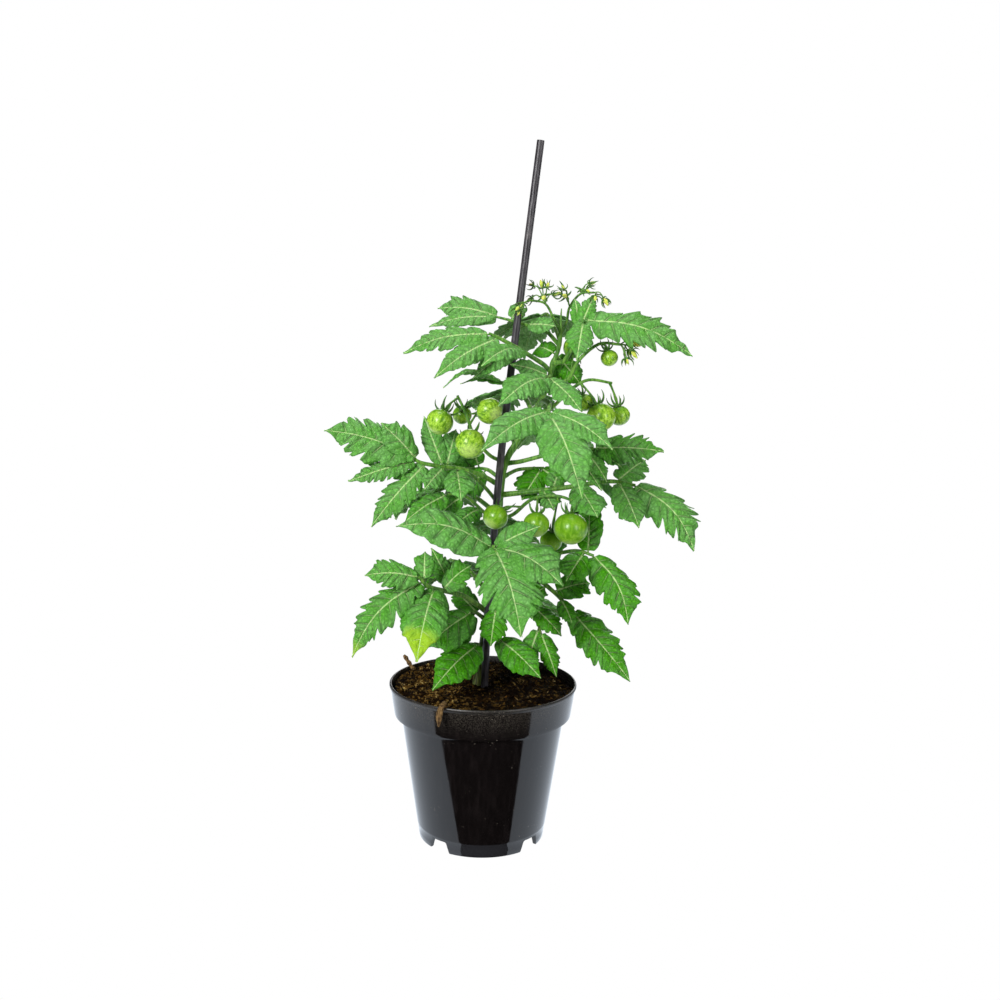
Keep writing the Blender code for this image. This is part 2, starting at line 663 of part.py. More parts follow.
def make_flower_trusses(stalk, collection, cutters):
    for name, (height, points, branches) in FLOWER_TRUSSES.items():
        route = stalk_route(height, points)
        meshes = [tube(name, route, FLOWER_STALK_RADIUS, FLOWER_STALK_RADIUS * 0.8)]
        for branch in branches:
            ends = [Vector(p) for p in branch]
            start = min(route, key=lambda p: (p - ends[0]).length)
            meshes.append(tube(name, smooth_route([start, ends[1]], 2),
                               BUD_STALK_RADIUS, BUD_STALK_RADIUS * 1.6))
        joined(name, meshes, stalk, collection, cutters)


def make_loose_bark(material, collection):
    for name, (points, start_radius, end_radius) in LOOSE_BARK.items():
        route = [Vector(p) for p in points]
        add_object(name, tube(name, route, start_radius, end_radius), material, collection)


def build():
    clear_scene()
    collection = new_collection(NAME)
    cutters = new_collection("cutters")
    black = new_material("pot_black_polypropylene", (0.008, 0.008, 0.009), 0.32)
    earth = new_material("peat", (0.025, 0.014, 0.008), 0.95)
    stick = new_material("stake_dark", (0.03, 0.03, 0.033), 0.5)
    stalk = new_material("stem_green", (0.16, 0.27, 0.05), 0.55)
    leaf = new_material("leaf_green", (0.06, 0.2, 0.04), 0.5)
    fruit = new_material("unripe_tomato", (0.36, 0.55, 0.12), 0.3)
    bark = new_material("bark", (0.2, 0.11, 0.05), 0.85)

    make_pot(black, collection, cutters)
    make_soil(earth, collection, cutters)
    make_stake(stick, collection)
    make_stem(stalk, collection)
    number = 0
    for height, radius, points, leaflets in FRONT_LEAVES:
        number += 1
        make_leaf(f"leaf_{number:02d}", height, radius, points, leaflets, FRONT, leaf, collection, cutters)
    for height, heading, reach, climb in BACK_LEAVES:
        number += 1
        points, leaflets, out = back_leaf(height, heading, reach, climb)
        make_leaf(f"leaf_{number:02d}", height, BACK_STALK_RADIUS, points, leaflets, out,
                  leaf, collection, cutters)
    make_trusses(stalk, fruit, collection, cutters)
    make_flower_trusses(stalk, collection, cutters)
    make_loose_bark(bark, collection)

    for obj in [*collection.objects, *cutters.objects]:
        obj.location += Vector((*POT_AXIS, 0.0)) * MM


build()
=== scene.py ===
# %% [markdown]
# # A young bush tomato in a nursery pot
# The plant stands in a round black pot beside a thin dark stake. Its plain solids are already
# fixed: this lesson gives them their leaves, fruit, bark, peat and plastic. The frame is loaded
# first, because every piece afterwards takes its place from it.

# %% Load the frame
import math

import bpy
import numpy as np
from mathutils import Matrix, Vector, noise


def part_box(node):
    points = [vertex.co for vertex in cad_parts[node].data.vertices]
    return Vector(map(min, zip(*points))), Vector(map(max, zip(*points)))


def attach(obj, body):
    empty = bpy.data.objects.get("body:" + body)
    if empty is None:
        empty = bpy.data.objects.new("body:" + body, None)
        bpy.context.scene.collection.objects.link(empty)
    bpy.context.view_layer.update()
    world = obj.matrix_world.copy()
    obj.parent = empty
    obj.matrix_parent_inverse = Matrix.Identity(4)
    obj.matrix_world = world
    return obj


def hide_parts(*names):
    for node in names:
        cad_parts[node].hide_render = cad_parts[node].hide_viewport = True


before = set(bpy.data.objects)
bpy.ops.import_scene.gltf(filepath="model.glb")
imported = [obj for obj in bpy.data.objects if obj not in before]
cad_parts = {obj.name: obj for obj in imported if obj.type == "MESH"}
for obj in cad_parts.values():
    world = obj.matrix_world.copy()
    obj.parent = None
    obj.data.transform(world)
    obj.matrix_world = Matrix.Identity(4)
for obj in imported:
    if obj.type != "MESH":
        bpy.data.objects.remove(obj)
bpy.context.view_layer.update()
MM = 0.001
pot_low, pot_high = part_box("pot")
POT_FOOT = Vector(((pot_low.x + pot_high.x) / 2, (pot_low.y + pot_high.y) / 2, 0.0))
TO_FRAME = Matrix.Translation(POT_FOOT)      # measures below start from the foot of the pot's axis
print("the frame has", len(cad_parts), "solids, and the pot's axis stands at", POT_FOOT)

# %% [markdown]
# The camera comes next. It looks down on the pot a little, from 80 cm away, and it is rolled by
# less than a degree, as a camera held by hand is.

# %% Camera
PITCH = math.radians(8.5)
ROLL = math.radians(0.86)
EYE = (0.0099, -0.808, 0.3584)      # metres from the pot's foot
LENS, SENSOR = 43.2, 36.0           # mm


def add_camera():
    sideways = Vector((1.0, 0.0, 0.0))
    ahead = Vector((0.0, math.cos(PITCH), -math.sin(PITCH)))
    level_up = Vector((0.0, math.sin(PITCH), math.cos(PITCH)))
    right = sideways * math.cos(ROLL) + level_up * math.sin(ROLL)
    up = level_up * math.cos(ROLL) - sideways * math.sin(ROLL)
    data = bpy.data.cameras.new("camera")
    data.lens = LENS
    data.sensor_width = SENSOR
    camera = bpy.data.objects.new("camera", data)
    turn = Matrix((right, up, -ahead)).transposed().to_4x4()
    camera.matrix_world = TO_FRAME @ Matrix.Translation(EYE) @ turn
    bpy.context.scene.collection.objects.link(camera)
    bpy.context.scene.camera = camera
    return camera


camera = add_camera()
bpy.context.scene.view_settings.view_transform = "Standard"
print("camera at", tuple(round(v, 3) for v in camera.location))

# %% [markdown]
# A few helpers serve every finish. One turns a colour as a painter reads it, an sRGB hex value,
# to the linear numbers that a shader needs. One adds a node of any kind with its settings and
# links, and gives back its output, so that a finish reads as a recipe from pattern to skin.

# %% Helpers for finishes
# a Mix blends two colours, in inputs 6 and 7, and gives them at output 2. A Map Range has soft ends
USUAL = {"Mix": {"data_type": "RGBA"}, "MapRange": {"interpolation_type": "SMOOTHSTEP"}}
USUAL_OUTPUT = {"Mix": 2}


def colour(hex_value):
    """An sRGB hex value as linear red, green, blue and alpha."""
    parts = [int(hex_value[i:i + 2], 16) / 255 for i in (1, 3, 5)]
    linear = [c / 12.92 if c <= 0.04045 else ((c + 0.055) / 1.055) ** 2.4 for c in parts]
    return (*linear, 1.0)


def fill(tree, target, inputs):
    """Gives a node its inputs, by place or name: numbers, hex colours or other nodes' outputs."""
    for key, value in inputs.items():
        if isinstance(value, bpy.types.NodeSocket):
            tree.links.new(value, target.inputs[key])
        else:
            target.inputs[key].default_value = colour(value) if isinstance(value, str) else value


def add_node(tree, kind, inputs=(), out=0, stops=(), **settings):
    """Adds a node and gives back one output, or all of them for None. Stops fill a ramp."""
    new = tree.nodes.new("ShaderNode" + kind)
    for key, value in {**USUAL.get(kind, {}), **settings}.items():
        setattr(new, key, value)
    fill(tree, new, inputs if isinstance(inputs, dict) else dict(enumerate(inputs)))
    for k, (position, hex_value) in enumerate(stops):
        elements = new.color_ramp.elements
        element = elements[k] if k < 2 else elements.new(position)
        element.position, element.color = position, colour(hex_value)
    return new.outputs if out is None else new.outputs[USUAL_OUTPUT.get(kind, out)]


def dress(finish, **sockets):
    """Sets the sockets of a finish's shader, or links them."""
    named = {key.replace("_", " "): value for key, value in sockets.items()}
    fill(finish.node_tree, finish.node_tree.nodes["Principled BSDF"], named)


def new_finish(name, **sockets):
    """A material with its shader's constant values set, and a function that adds its nodes."""
    finish = bpy.data.materials.new(name)
    finish.use_nodes = True
    dress(finish, **sockets)

    def node(kind, inputs=(), **settings):
        return add_node(finish.node_tree, kind, inputs, **settings)

    return finish, node


print("helpers ready")

# %% [markdown]
# ## Leaf skin
# A tomato leaf is soft and matte, with short hairs that turn its highlights bluish. Each leaf has a
# tone from deep green to bluish, set high on the upper leaves and low on the lower ones. It is partly
# the leaf's own colour and mostly painted light: a painted bluish highlight up top and painted shade
# low down. Pale veins leave the midrib and run to the lobes, and the skin puffs up between a net of
# veinlets. The veinlets and the furrows beside the side veins are darkened as painted shade. The
# blades carry a UV map that follows the veins: across in metres from the midrib, along in tens
# of side veins. So the vein lines are drawn on that map, and stay right on every blade.

# %% Leaf finish
NET_SIZE = 3.0 * MM         # mesh of the veinlets, coarser than life so that it shows
BLOTCH_SIZE = 9.0 * MM
PUFF_DEPTH = 0.65 * MM
RIB_WIDTHS = (-0.0055, 0.0085)      # metres that the midrib's line loses to the tip, and starts with


def leaf_finish(name, shade, deep, high, vein, old, vein_share, roughness):
    finish, node = new_finish(
        name, Roughness=roughness, IOR=1.42, Specular_IOR_Level=0.3,
        Sheen_Weight=0.04, Sheen_Roughness=0.4, Sheen_Tint="#cfe6d6",
        Subsurface_Weight=0.05, Subsurface_Scale=0.0006, Subsurface_Radius=(0.6, 1.0, 0.2))
    place = node("TexCoord", out="Object")
    strip = node("SeparateXYZ", (node("UVMap", uv_map="blade"),), out=None)
    tone_and_painted_light, edge, age, along = [node("Attribute", out="Fac", attribute_name=key)
                              for key in ("tone_and_painted_light", "edge", "age", "along")]
    # the midrib tapers to the tip, and the side veins fade towards the margin
    off_midrib = node("Math", (node("Math", (strip[0], 0.5), operation="SUBTRACT"),), operation="ABSOLUTE")
    rib_width = node("Math", (along, *RIB_WIDTHS), operation="MULTIPLY_ADD")
    rib_place = node("Math", (off_midrib, rib_width), operation="DIVIDE")
    midrib = node("MapRange", (rib_place, 0.35, 1.0, 1.0, 0.0))
    order = node("Math", (strip[1], 10.0), operation="MULTIPLY")
    off_vein = node("Math", (order, 0.5), operation="PINGPONG")
    line = node("MapRange", (off_vein, 0.01, 0.06, 1.0, 0.0))
    fading = node("MapRange", (edge, 0.1, 0.8, 1.0, 0.1))
    side_vein = node("Math", (line, fading), operation="MULTIPLY")
    # the net of veinlets and the furrows beside the side veins are darkened as painted shade, and
    # clouds tint the skin and break the furrows
    net = node("TexVoronoi", {"Vector": place, "Scale": 1 / NET_SIZE, "Randomness": 0.8},
               feature="DISTANCE_TO_EDGE")
    veinlet_painted_shade = node("MapRange", (net, 0.0, 0.3, 1.0, 0.0))
    blotch = node("TexNoise", {"Vector": place, "Scale": 1 / BLOTCH_SIZE, "Detail": 3.0})
    cloud = node("MapRange", (blotch, 0.32, 0.68, -0.3, 0.3))
    furrow_painted_shade = node("MapRange", (off_vein, 0.02, 0.2, 0.7, 0.0))
    broken = node("MapRange", (blotch, 0.38, 0.62, 0.05, 1.0))
    spread = node("Math", (blotch, 0.5), operation="SUBTRACT")
    aged = node("Math", (age, spread), operation="ADD")
    # the layers over the deep green: the tone, which is mostly painted light (bluish as a painted highlight,
    # deep as painted shade); the veinlets and the furrows beside the side veins as painted shade; the
    # yellowing; and the pale side veins and midrib
    skin = deep
    for share, over in (
        (node("Math", (tone_and_painted_light, cloud), operation="ADD"), high),
        (node("Math", (veinlet_painted_shade, 0.38), operation="MULTIPLY"), shade),
        (node("Math", (furrow_painted_shade, broken), operation="MULTIPLY"), shade),
        (node("MapRange", (aged, 0.15, 0.75, 0.0, 0.9)), old),
        (node("Math", (side_vein, 0.6 * vein_share), operation="MULTIPLY"), vein),
        (node("Math", (midrib, vein_share), operation="MULTIPLY"), vein),
    ):
        skin = node("Mix", {0: share, 6: skin, 7: over})
    puffed = node("MapRange", (net, 0.0, 0.5))
    sunk = node("Math", (side_vein, 0.8), operation="MULTIPLY")
    height = node("Math", (puffed, sunk), operation="SUBTRACT")
    dress(finish, Base_Color=skin,
          Normal=node("Bump", {"Height": height, "Distance": PUFF_DEPTH, "Strength": 0.85}))
    return finish


# the colours are shade, deep, high, vein and old: shade is painted shade for the veinlets and furrows, and
# high is a painted bluish highlight for the upper leaves
leaf_top = leaf_finish("tomato_leaf_upper_skin",
                       "#0f3d00", "#489c02", "#70ae57", "#bcd892", "#93bb1a", 0.8, 0.54)
leaf_under = leaf_finish("tomato_leaf_lower_skin",
                         "#4c8a30", "#568f3c", "#8cb377", "#bcd79a", "#b4c83a", 0.7, 0.6)
print("leaf finishes:", leaf_top.name, leaf_under.name)

# %% [markdown]
# Stems and stalks are green with a soft down of hairs. Low on the main stem the skin turns
# olive brown and corky, so the colour is a ramp on height, broken by streaks along the stem.

# %% Stalk finish
STREAK_SIZE = 1.6 * MM
CORKY_BELOW, GREEN_ABOVE = 0.10, 0.20       # metres


def stalk_finish(name, dark, light):
    finish, node = new_finish(name, Roughness=0.5, IOR=1.42, Sheen_Weight=0.25, Sheen_Tint="#e3efc8",
                              Subsurface_Weight=0.1, Subsurface_Scale=0.001)
    place = node("TexCoord", out="Object")
    height = node("SeparateXYZ", (place,), out=2)
    long_grain = node("Mapping", {"Vector": place, "Scale": (1.0, 1.0, 0.12)})
    grain = node("TexNoise", {"Vector": long_grain, "Scale": 1 / STREAK_SIZE, "Detail": 4.0})
    corky, young = [node("Mix", {0: node("MapRange", (grain, 0.35, limit)), 6: first, 7: second})
                    for limit, first, second in ((0.65, "#33351a", "#6d7a3a"), (0.7, dark, light))]
    by_height = node("MapRange", (height, CORKY_BELOW, GREEN_ABOVE))
    dress(finish, Base_Color=node("Mix", {0: by_height, 6: corky, 7: young}),
          Normal=node("Bump", {"Height": grain, "Distance": 0.25 * MM, "Strength": 0.5}))
    return finish


stalk_green = stalk_finish("hairy_green_stalk", "#33690f", "#6d9f38")
sepal_green = stalk_finish("dark_green_sepal", "#234f0a", "#4f8426")
print("stalk finishes:", stalk_green.name, sepal_green.name)

# %% [markdown]
# ## How the plant is put together
# The leaves and fruit hang where the solids say, so their measures are listed here again, in
# millimetres. Each leaf row has the height where its stalk leaves the stem, the stalk's radius,
# the tone of the leaf from deep green (0) to bluish (1), the stalk's points, and its leaflets:
# how far along the stalk, tip, width, turn of the face, arch, and how deeply it is lobed. The
# tone is set high for the upper leaves and low for the lower ones, so it is mostly painted light:
# a painted bluish highlight up top and painted shade low down.

# %% Stem, stake and leaf measures
STEM_ROUTE = [
    (-5, 6, 92), (-4, 6, 106), (-2, 7, 122), (1, 8, 142), (5, 8, 173), (8, 8, 208), (10, 8, 240),
    (12, 7, 257), (16, 6, 269), (23, 6, 281), (31, 6, 295), (39, 5, 311), (44, 4, 329),
    (48, 4, 343), (49, 3, 367),
]
STEM_RADII = (3.2, 1.3)
STAKE_ROUTE = [
    (-1, 0, 22), (1, 0, 105), (3.5, 0, 170), (8, 0, 241), (13.2, 0, 299), (23, 0, 387), (33, 0, 475),
]
STAKE_RADIUS = 2.5
FRONT = (0.0, -1.0)

FRONT_LEAVES = [
    (133, 1.3, 0.05, [(-6, 2, 136), (-3, -7, 138)], [(0.95, (-32, -48, 120), 25, 50, 5, 0.2)]),
    (138, 1.2, 0.0, [(8, 4, 141), (10, -6, 142)], [(0.95, (39, -42, 124), 21, 50, 5, 0.12)]),
    (151, 1.4, 0.2, [(-5, 2, 158), (-8, -4, 160)], [
        (0.62, (-24, -10, 134), 16, 60, 2, 0.2), (0.30, (-22, 17, 172), 15, 70, 2, 0.2),
        (0.95, (-38, -28, 142), 26, 50, 4, 0.12),
    ]),
    (159, 1.2, 0.15, [(10, 2, 164), (8, -8, 164)], [(0.95, (5, -27, 143), 17, 60, 3, 0.3)]),
    (164, 1.5, 0.15, [(20, 2, 172), (32, -4, 168), (39, -9, 148)], [
        (0.38, (33, -22, 160), 17, 50, 3, 0.35), (0.50, (42, -2, 178), 13, 60, 2, 0.3),
        (0.62, (53, -16, 147), 14, 50, 3, 0.4), (0.93, (29, -9, 123), 13, 60, 2, 0.35),
        (0.98, (50, -21, 120), 12, 60, 3, 0.35),
    ]),
    (174, 1.7, 0.1, [(20, 0, 182), (35, -5, 184), (48, -10, 176), (60, -16, 164)], [
        (0.70, (73, -2, 182), 18, 60, 3, 0.3), (0.80, (60, -27, 158), 11, 40, 3, 0.3),
        (0.98, (98, -45, 127), 24, 42, 6, 0.35),
    ]),
    (199, 1.5, 0.35, [(25, 0, 197), (41, -4, 200), (61, -14, 206), (73, -20, 204)], [
        (0.90, (54, -38, 190), 20, 60, 4, 0.15), (0.94, (71, 2, 235), 19, 75, 3, 0.15),
        (0.98, (94, -50, 164), 23, 45, 5, 0.35),
    ]),
    (186, 1.9, 0.75, [(14, 0, 192), (10, -16, 199), (6, -30, 206), (6, -45, 214)], [
        (0.88, (-56, -58, 228), 30, 42, 8, 0.08), (0.90, (36, -47, 228), 18, 60, 4, 0.1),
        (0.93, (50, -78, 196), 31, 45, 8, 0.15), (0.98, (24, -97, 169), 34, 45, 9, 0.5),
    ]),
    (157, 1.8, 0.45, [(-6, 1, 165), (-16, -16, 175), (-35, -39, 185), (-42, -45, 193)], [
        (0.50, (-36, -10, 206), 12, 60, 2, 0.3), (0.66, (-9, -31, 199), 17, 50, 3, 0.3),
        (0.78, (-41, -80, 148), 28, 48, 7, 0.08), (0.92, (-39, -34, 208), 13, 60, 2, 0.3),
        (0.93, (-84, -64, 145), 22, 48, 8, 0.55), (0.98, (-76, -54, 196), 19, 50, 5, 0.35),
    ]),
    (246, 1.6, 0.85, [(-3, 3, 254), (-18, -2, 259), (-31, -7, 261), (-44, -11, 264), (-51, -12, 269)], [
        (0.58, (-21, 12, 284), 15, 70, 2, 0.1), (0.62, (-43, 15, 292), 14, 70, 2, 0.15),
        (0.80, (-74, -30, 222), 19, 50, 5, 0.5), (0.90, (-90, -25, 251), 15, 50, 3, 0.5),
        (0.98, (-107, -20, 284), 27, 55, 3, 0.5),
    ]),
    (233, 1.3, 0.8, [(0, -2, 246), (-10, -10, 256), (-20, -19, 260)], [
        (0.97, (-15, -50, 245), 20, 35, 4, 0.1),
    ]),
    (218, 1.2, 0.3, [(-2, 0, 230), (-14, -6, 241), (-26, -13, 243)], [
        (0.70, (-30, 2, 228), 15, 60, 2, 0.3), (0.97, (-52, -32, 228), 17, 50, 3, 0.3),
    ]),
    (250, 1.4, 0.2, [(2, 15, 256), (-6, 20, 257)], [
        (0.60, (-14, 14, 240), 16, 60, 2, 0.3), (0.92, (-12, 28, 274), 14, 60, 2, 0.3),
        (0.96, (-34, 30, 252), 24, 60, 3, 0.35),
    ]),
    (300, 1.8, 0.85, [(38, -8, 306), (41, -26, 305), (40, -44, 300)], [
        (0.90, (-1, -85, 283), 22, 50, 6, 0.08), (0.93, (78, -77, 284), 21, 45, 5, 0.15),
        (0.98, (59, -98, 257), 29, 50, 9, 0.12),
    ]),
    (319, 1.4, 0.8, [(42, -4, 322), (40, -14, 321)], [
        (0.80, (61, -45, 302), 17, 40, 3, 0.25), (0.95, (8, -52, 305), 22, 50, 8, 0.25),
    ]),
    (309, 1.2, 0.7, [(26, -3, 313), (11, -7, 317)], [
        (0.80, (-18, 3, 315), 7, 20, 5, 0.3), (0.96, (-29, -8, 313), 10, 15, 11, 0.4),
    ]),
    (325, 1.5, 0.9, [(36, -3, 331), (21, -10, 340), (8, -14, 347), (1, -16, 350)], [
        (0.45, (-2, -49, 333), 18, 45, 6, 0.25), (0.85, (-33, -42, 324), 17, 50, 4, 0.12),
        (0.97, (-54, -28, 339), 18, 45, 4, 0.35),
    ]),
    (343, 1.3, 0.85, [(40, 4, 351), (32, 4, 354), (18, 6, 358), (5, 8, 361)], [
        (0.52, (45, -7, 355), 13, 60, 2, 0.2), (0.76, (22, 13, 369), 11, 60, 1, 0.35),
        (0.93, (-34, 14, 365), 20, 55, 4, 0.3), (0.97, (-39, 2, 352), 13, 40, 5, 0.12),
    ]),
    (330, 1.5, 0.75, [(52, -1, 333), (59, -4, 348), (64, -5, 360)], [
        (0.80, (58, 8, 374), 9, 60, 1, 0.3), (0.75, (71, 5, 377), 11, 60, 2, 0.3),
        (0.94, (58, -30, 335), 17, 60, 4, 0.25), (0.97, (134, -22, 339), 25, 50, 8, 0.6),
    ]),
    (262, 1.5, 0.6, [(24, 3, 264), (40, -2, 269), (56, -7, 273), (72, -10, 275)], [
        (0.88, (80, -27, 256), 11, 45, 2, 0.4), (0.94, (91, -14, 264), 8, 45, 1, 0.4),
        (0.98, (117, -22, 276), 21, 50, 2, 0.6),
    ]),
    (240, 1.7, 0.6, [(30, 4, 243), (55, 0, 247), (77, -8, 252), (88, -12, 253), (100, -15, 251)], [
        (0.70, (85, 16, 245), 19, 60, 2, 0.3), (0.86, (110, 20, 263), 18, 50, 3, 0.4),
        (0.87, (100, -42, 226), 19, 45, 4, 0.25), (0.98, (137, -34, 210), 25, 45, 7, 0.6),
    ]),
    (252, 1.3, 0.1, [(22, 13, 257), (40, 18, 258)], [(0.95, (25, 8, 237), 19, 70, 3, 0.3)]),
    (332, 1.2, 0.2, [(46, 12, 337)], [
        (0.85, (34, 27, 341), 15, 60, 2, 0.2), (0.90, (64, 10, 316), 15, 70, 2, 0.2),
        (0.95, (52, 14, 310), 13, 75, 3, 0.2),
    ]),
]
# Yellowing blades: leaf number, leaflet number and how much of the blade has turned
OLD_BLADES = {(9, 2): 0.62, (9, 4): 0.3, (1, 0): 0.1}

# How far a blade's midrib bows sideways, in mm
BOWED_BLADES = {
    (9, 4): 4.5, (21, 3): -5.5, (19, 3): -2.5, (6, 2): 2.5, (7, 2): -5.0, (8, 0): 4.0, (10, 4): 3.0,
    (18, 2): 1.5, (17, 2): 1.5, (8, 3): -1.5, (8, 2): -1.5,
}
# Small leaflets that grow between the main ones: share, tip, width, turn, arch, cut
SMALL_LEAFLETS = {
    10: [(0.60, (-40, -24, 247), 15, 50, 2, 0.2), (0.90, (-70, -15, 290), 19, 55, 3, 0.3)],
    12: [(0.35, (-18, -27, 226), 15, 50, 2, 0.2)],
    15: [(0.50, (15, -20, 330), 14, 55, 3, 0.2)],
    17: [(0.55, (-9, -22, 322), 14, 50, 3, 0.15)],
    20: [(0.75, (77, -24, 249), 11, 50, 2, 0.3), (0.40, (50, 12, 279), 10, 60, 2, 0.3)],
    21: [(0.55, (74, -34, 231), 21, 50, 3, 0.2), (0.36, (52, 22, 260), 14, 60, 2, 0.3),
         (0.28, (46, -20, 234), 14, 55, 2, 0.25)],
    22: [(0.90, (54, 6, 247), 14, 60, 2, 0.3)],
    7: [(0.55, (52, 16, 208), 12, 60, 2, 0.3)],
    6: [(0.45, (40, 18, 196), 12, 60, 2, 0.3)],
}

# The far side's leaves: stem height, heading in degrees, reach and climb of the stalk
BACK_LEAVES = [
    (145, 60, 62, 12), (168, 118, 66, 14), (196, 84, 60, 18), (226, 140, 58, 14),
    (268, 58, 60, 16), (296, 104, 56, 14), (348, 106, 40, 14),
]
BACK_PAIRS = [(0.52, 34.0, 14.0), (0.78, 42.0, 17.0)]
BACK_STAGGER = 0.03
BACK_ANGLE = math.radians(58.0)
BACK_DROP = math.tan(math.radians(24.0))
print(len(FRONT_LEAVES) + len(BACK_LEAVES), "leaves to make")

# %% [markdown]
# A few routines follow lines through the plant: the stem's place at a height, a smooth curve
# through given points, and the point at a share of a route's length.

# %% Lines through the plant


def stem_at(height):
    route = [Vector(p) for p in STEM_ROUTE]
    for low, high in zip(route, route[1:]):
        if low.z <= height <= high.z:
            share = (height - route[0].z) / (route[-1].z - route[0].z)
            radius = STEM_RADII[0] + (STEM_RADII[1] - STEM_RADII[0]) * share
            return low.lerp(high, (height - low.z) / (high.z - low.z)), radius
    return route[-1], STEM_RADII[1]


def smooth_route(points, steps):
    """Catmull-Rom points through a route."""
    padded = [points[0] * 2 - points[1], *points, points[-1] * 2 - points[-2]]
    route = []
    for i in range(len(points) - 1):
        a, b, c, d = padded[i:i + 4]
        for k in range(steps):
            t = k / steps
            route.append(0.5 * (2 * b + (c - a) * t + (2 * a - 5 * b + 4 * c - d) * t ** 2
                                + (3 * b - 3 * c + d - a) * t ** 3))
    return [*route, points[-1]]


def along_route(route, share):
    lengths = [(b - a).length for a, b in zip(route, route[1:])]
    left = share * sum(lengths)
    for start, end, length in zip(route, route[1:], lengths):
        if left <= length:
            return start.lerp(end, left / length)
        left -= length
    return route[-1]


def stalk_line(height, points):
    """A stalk's line from the stem's skin outwards, as its solid has it."""
    start, radius = stem_at(height)
    route = smooth_route([start, *[Vector(p) for p in points]], 1 if len(points) > 2 else 2)
    gap = radius + 2.2
    total = sum((b - a).length for a, b in zip(route, route[1:]))
    rest = [p for i, p in enumerate(route)
            if sum((b - a).length for a, b in zip(route[:i + 1], route[1:i + 1])) > gap + 1.0]
    return [along_route(route, gap / total), *rest]


print("the stem is", round(stem_at(240)[1] * 2, 2), "mm thick at 240 mm")

# %% [markdown]
# Stalks, ribs and stems are all tubes. A curve with a bevel is the quickest way to make a
# tube that tapers and bends, and it is turned to a mesh at once, so that it can be joined.

# %% Tubes


def only(obj):
    """Makes this the one selected object, because an operator acts on all that is selected."""
    bpy.ops.object.select_all(action="DESELECT")
    obj.select_set(True)
    bpy.context.view_layer.objects.active = obj


def primitive(operator, name, **settings):
    """Adds a primitive with nothing else selected, and names it."""
    bpy.ops.object.select_all(action="DESELECT")
    operator(**settings)
    bpy.context.object.name = name
    return bpy.context.object


def tube(name, route, radii, finish, sides=2):
    """A tapering tube along a route in mm. The radii are spread evenly along it."""
    guide = primitive(bpy.ops.curve.primitive_nurbs_path_add, name, radius=MM)
    guide.data.splines.clear()
    spline = guide.data.splines.new("POLY")
    spline.points.add(len(route) - 1)
    spots = np.linspace(0, 1, len(radii))
    for i, (point, spot) in enumerate(zip(spline.points, route)):
        point.co = (*(Vector(spot) * MM), 1.0)
        point.radius = float(np.interp(i / (len(route) - 1), spots, radii))
    guide.data.bevel_depth = MM
    guide.data.bevel_resolution = sides
    guide.data.use_fill_caps = True
    guide.data.materials.append(finish)
    bpy.ops.object.convert(target="MESH")
    bpy.ops.object.shade_smooth()
    return bpy.context.object


def joined(name, pieces):
    """One object from several, with the first one's material slots first."""
    bpy.ops.object.select_all(action="DESELECT")
    for piece in pieces:
        piece.select_set(True)
    bpy.context.view_layer.objects.active = pieces[0]
    if len(pieces) > 1:
        bpy.ops.object.join()
    whole = bpy.context.object
    whole.name = name
    whole.data.name = name
    return whole


def apply_all(obj):
    only(obj)
    for modifier in list(obj.modifiers):
        bpy.ops.object.modifier_apply(modifier=modifier.name)


def lumpy(piece, pattern_scale, depth):
    """Moves the skin of a piece in and out by noise, by a depth in mm."""
    for vert in piece.data.vertices:
        vert.co += vert.normal * (noise.noise(vert.co * pattern_scale) * depth * MM)


def settled(piece, slot, *nodes):
    """Moves a finished piece to its place in the frame, hangs it on the root body and hides the
    solids that it stands for. The slot that it is given is not used."""
    piece.data.transform(TO_FRAME)
    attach(piece, "root")
    if nodes:
        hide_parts(*nodes)
    return piece


print("tube helpers ready")

# %% [markdown]
# ## Leaf blades
# A leaflet could be cut from a flat outline, but then no line of its mesh would follow a vein.
# Here a grid is bent instead: its rows lean forward as the side veins do, the margin swings out
# where a vein ends and in between two veins, the skin swells between veins, and the whole blade
# arches along its midrib. All of it is worked out for every grid point at once.

# %% The surface of a blade
VEIN_LEAN = math.radians(43.0)          # side veins lean towards the tip
BASE_LEAN = math.radians(-30.0)         # and the blade's shoulders fall back past its stalk
BLADE_THICKNESS = 0.35                  # mm, as the measures below
SHORT_STALK = 2.6
VEIN_GAPS = (4.6, 9.5)
SWELL, SWELL_SHARE = 1.9, 0.072         # most that skin rises between veins, and its share of the width
PUFF, PUFF_SHARE = 0.5, 0.022           # the same for the small puffs
GROOVE_DEPTH, GROOVE_WIDTH = 0.45, 0.9


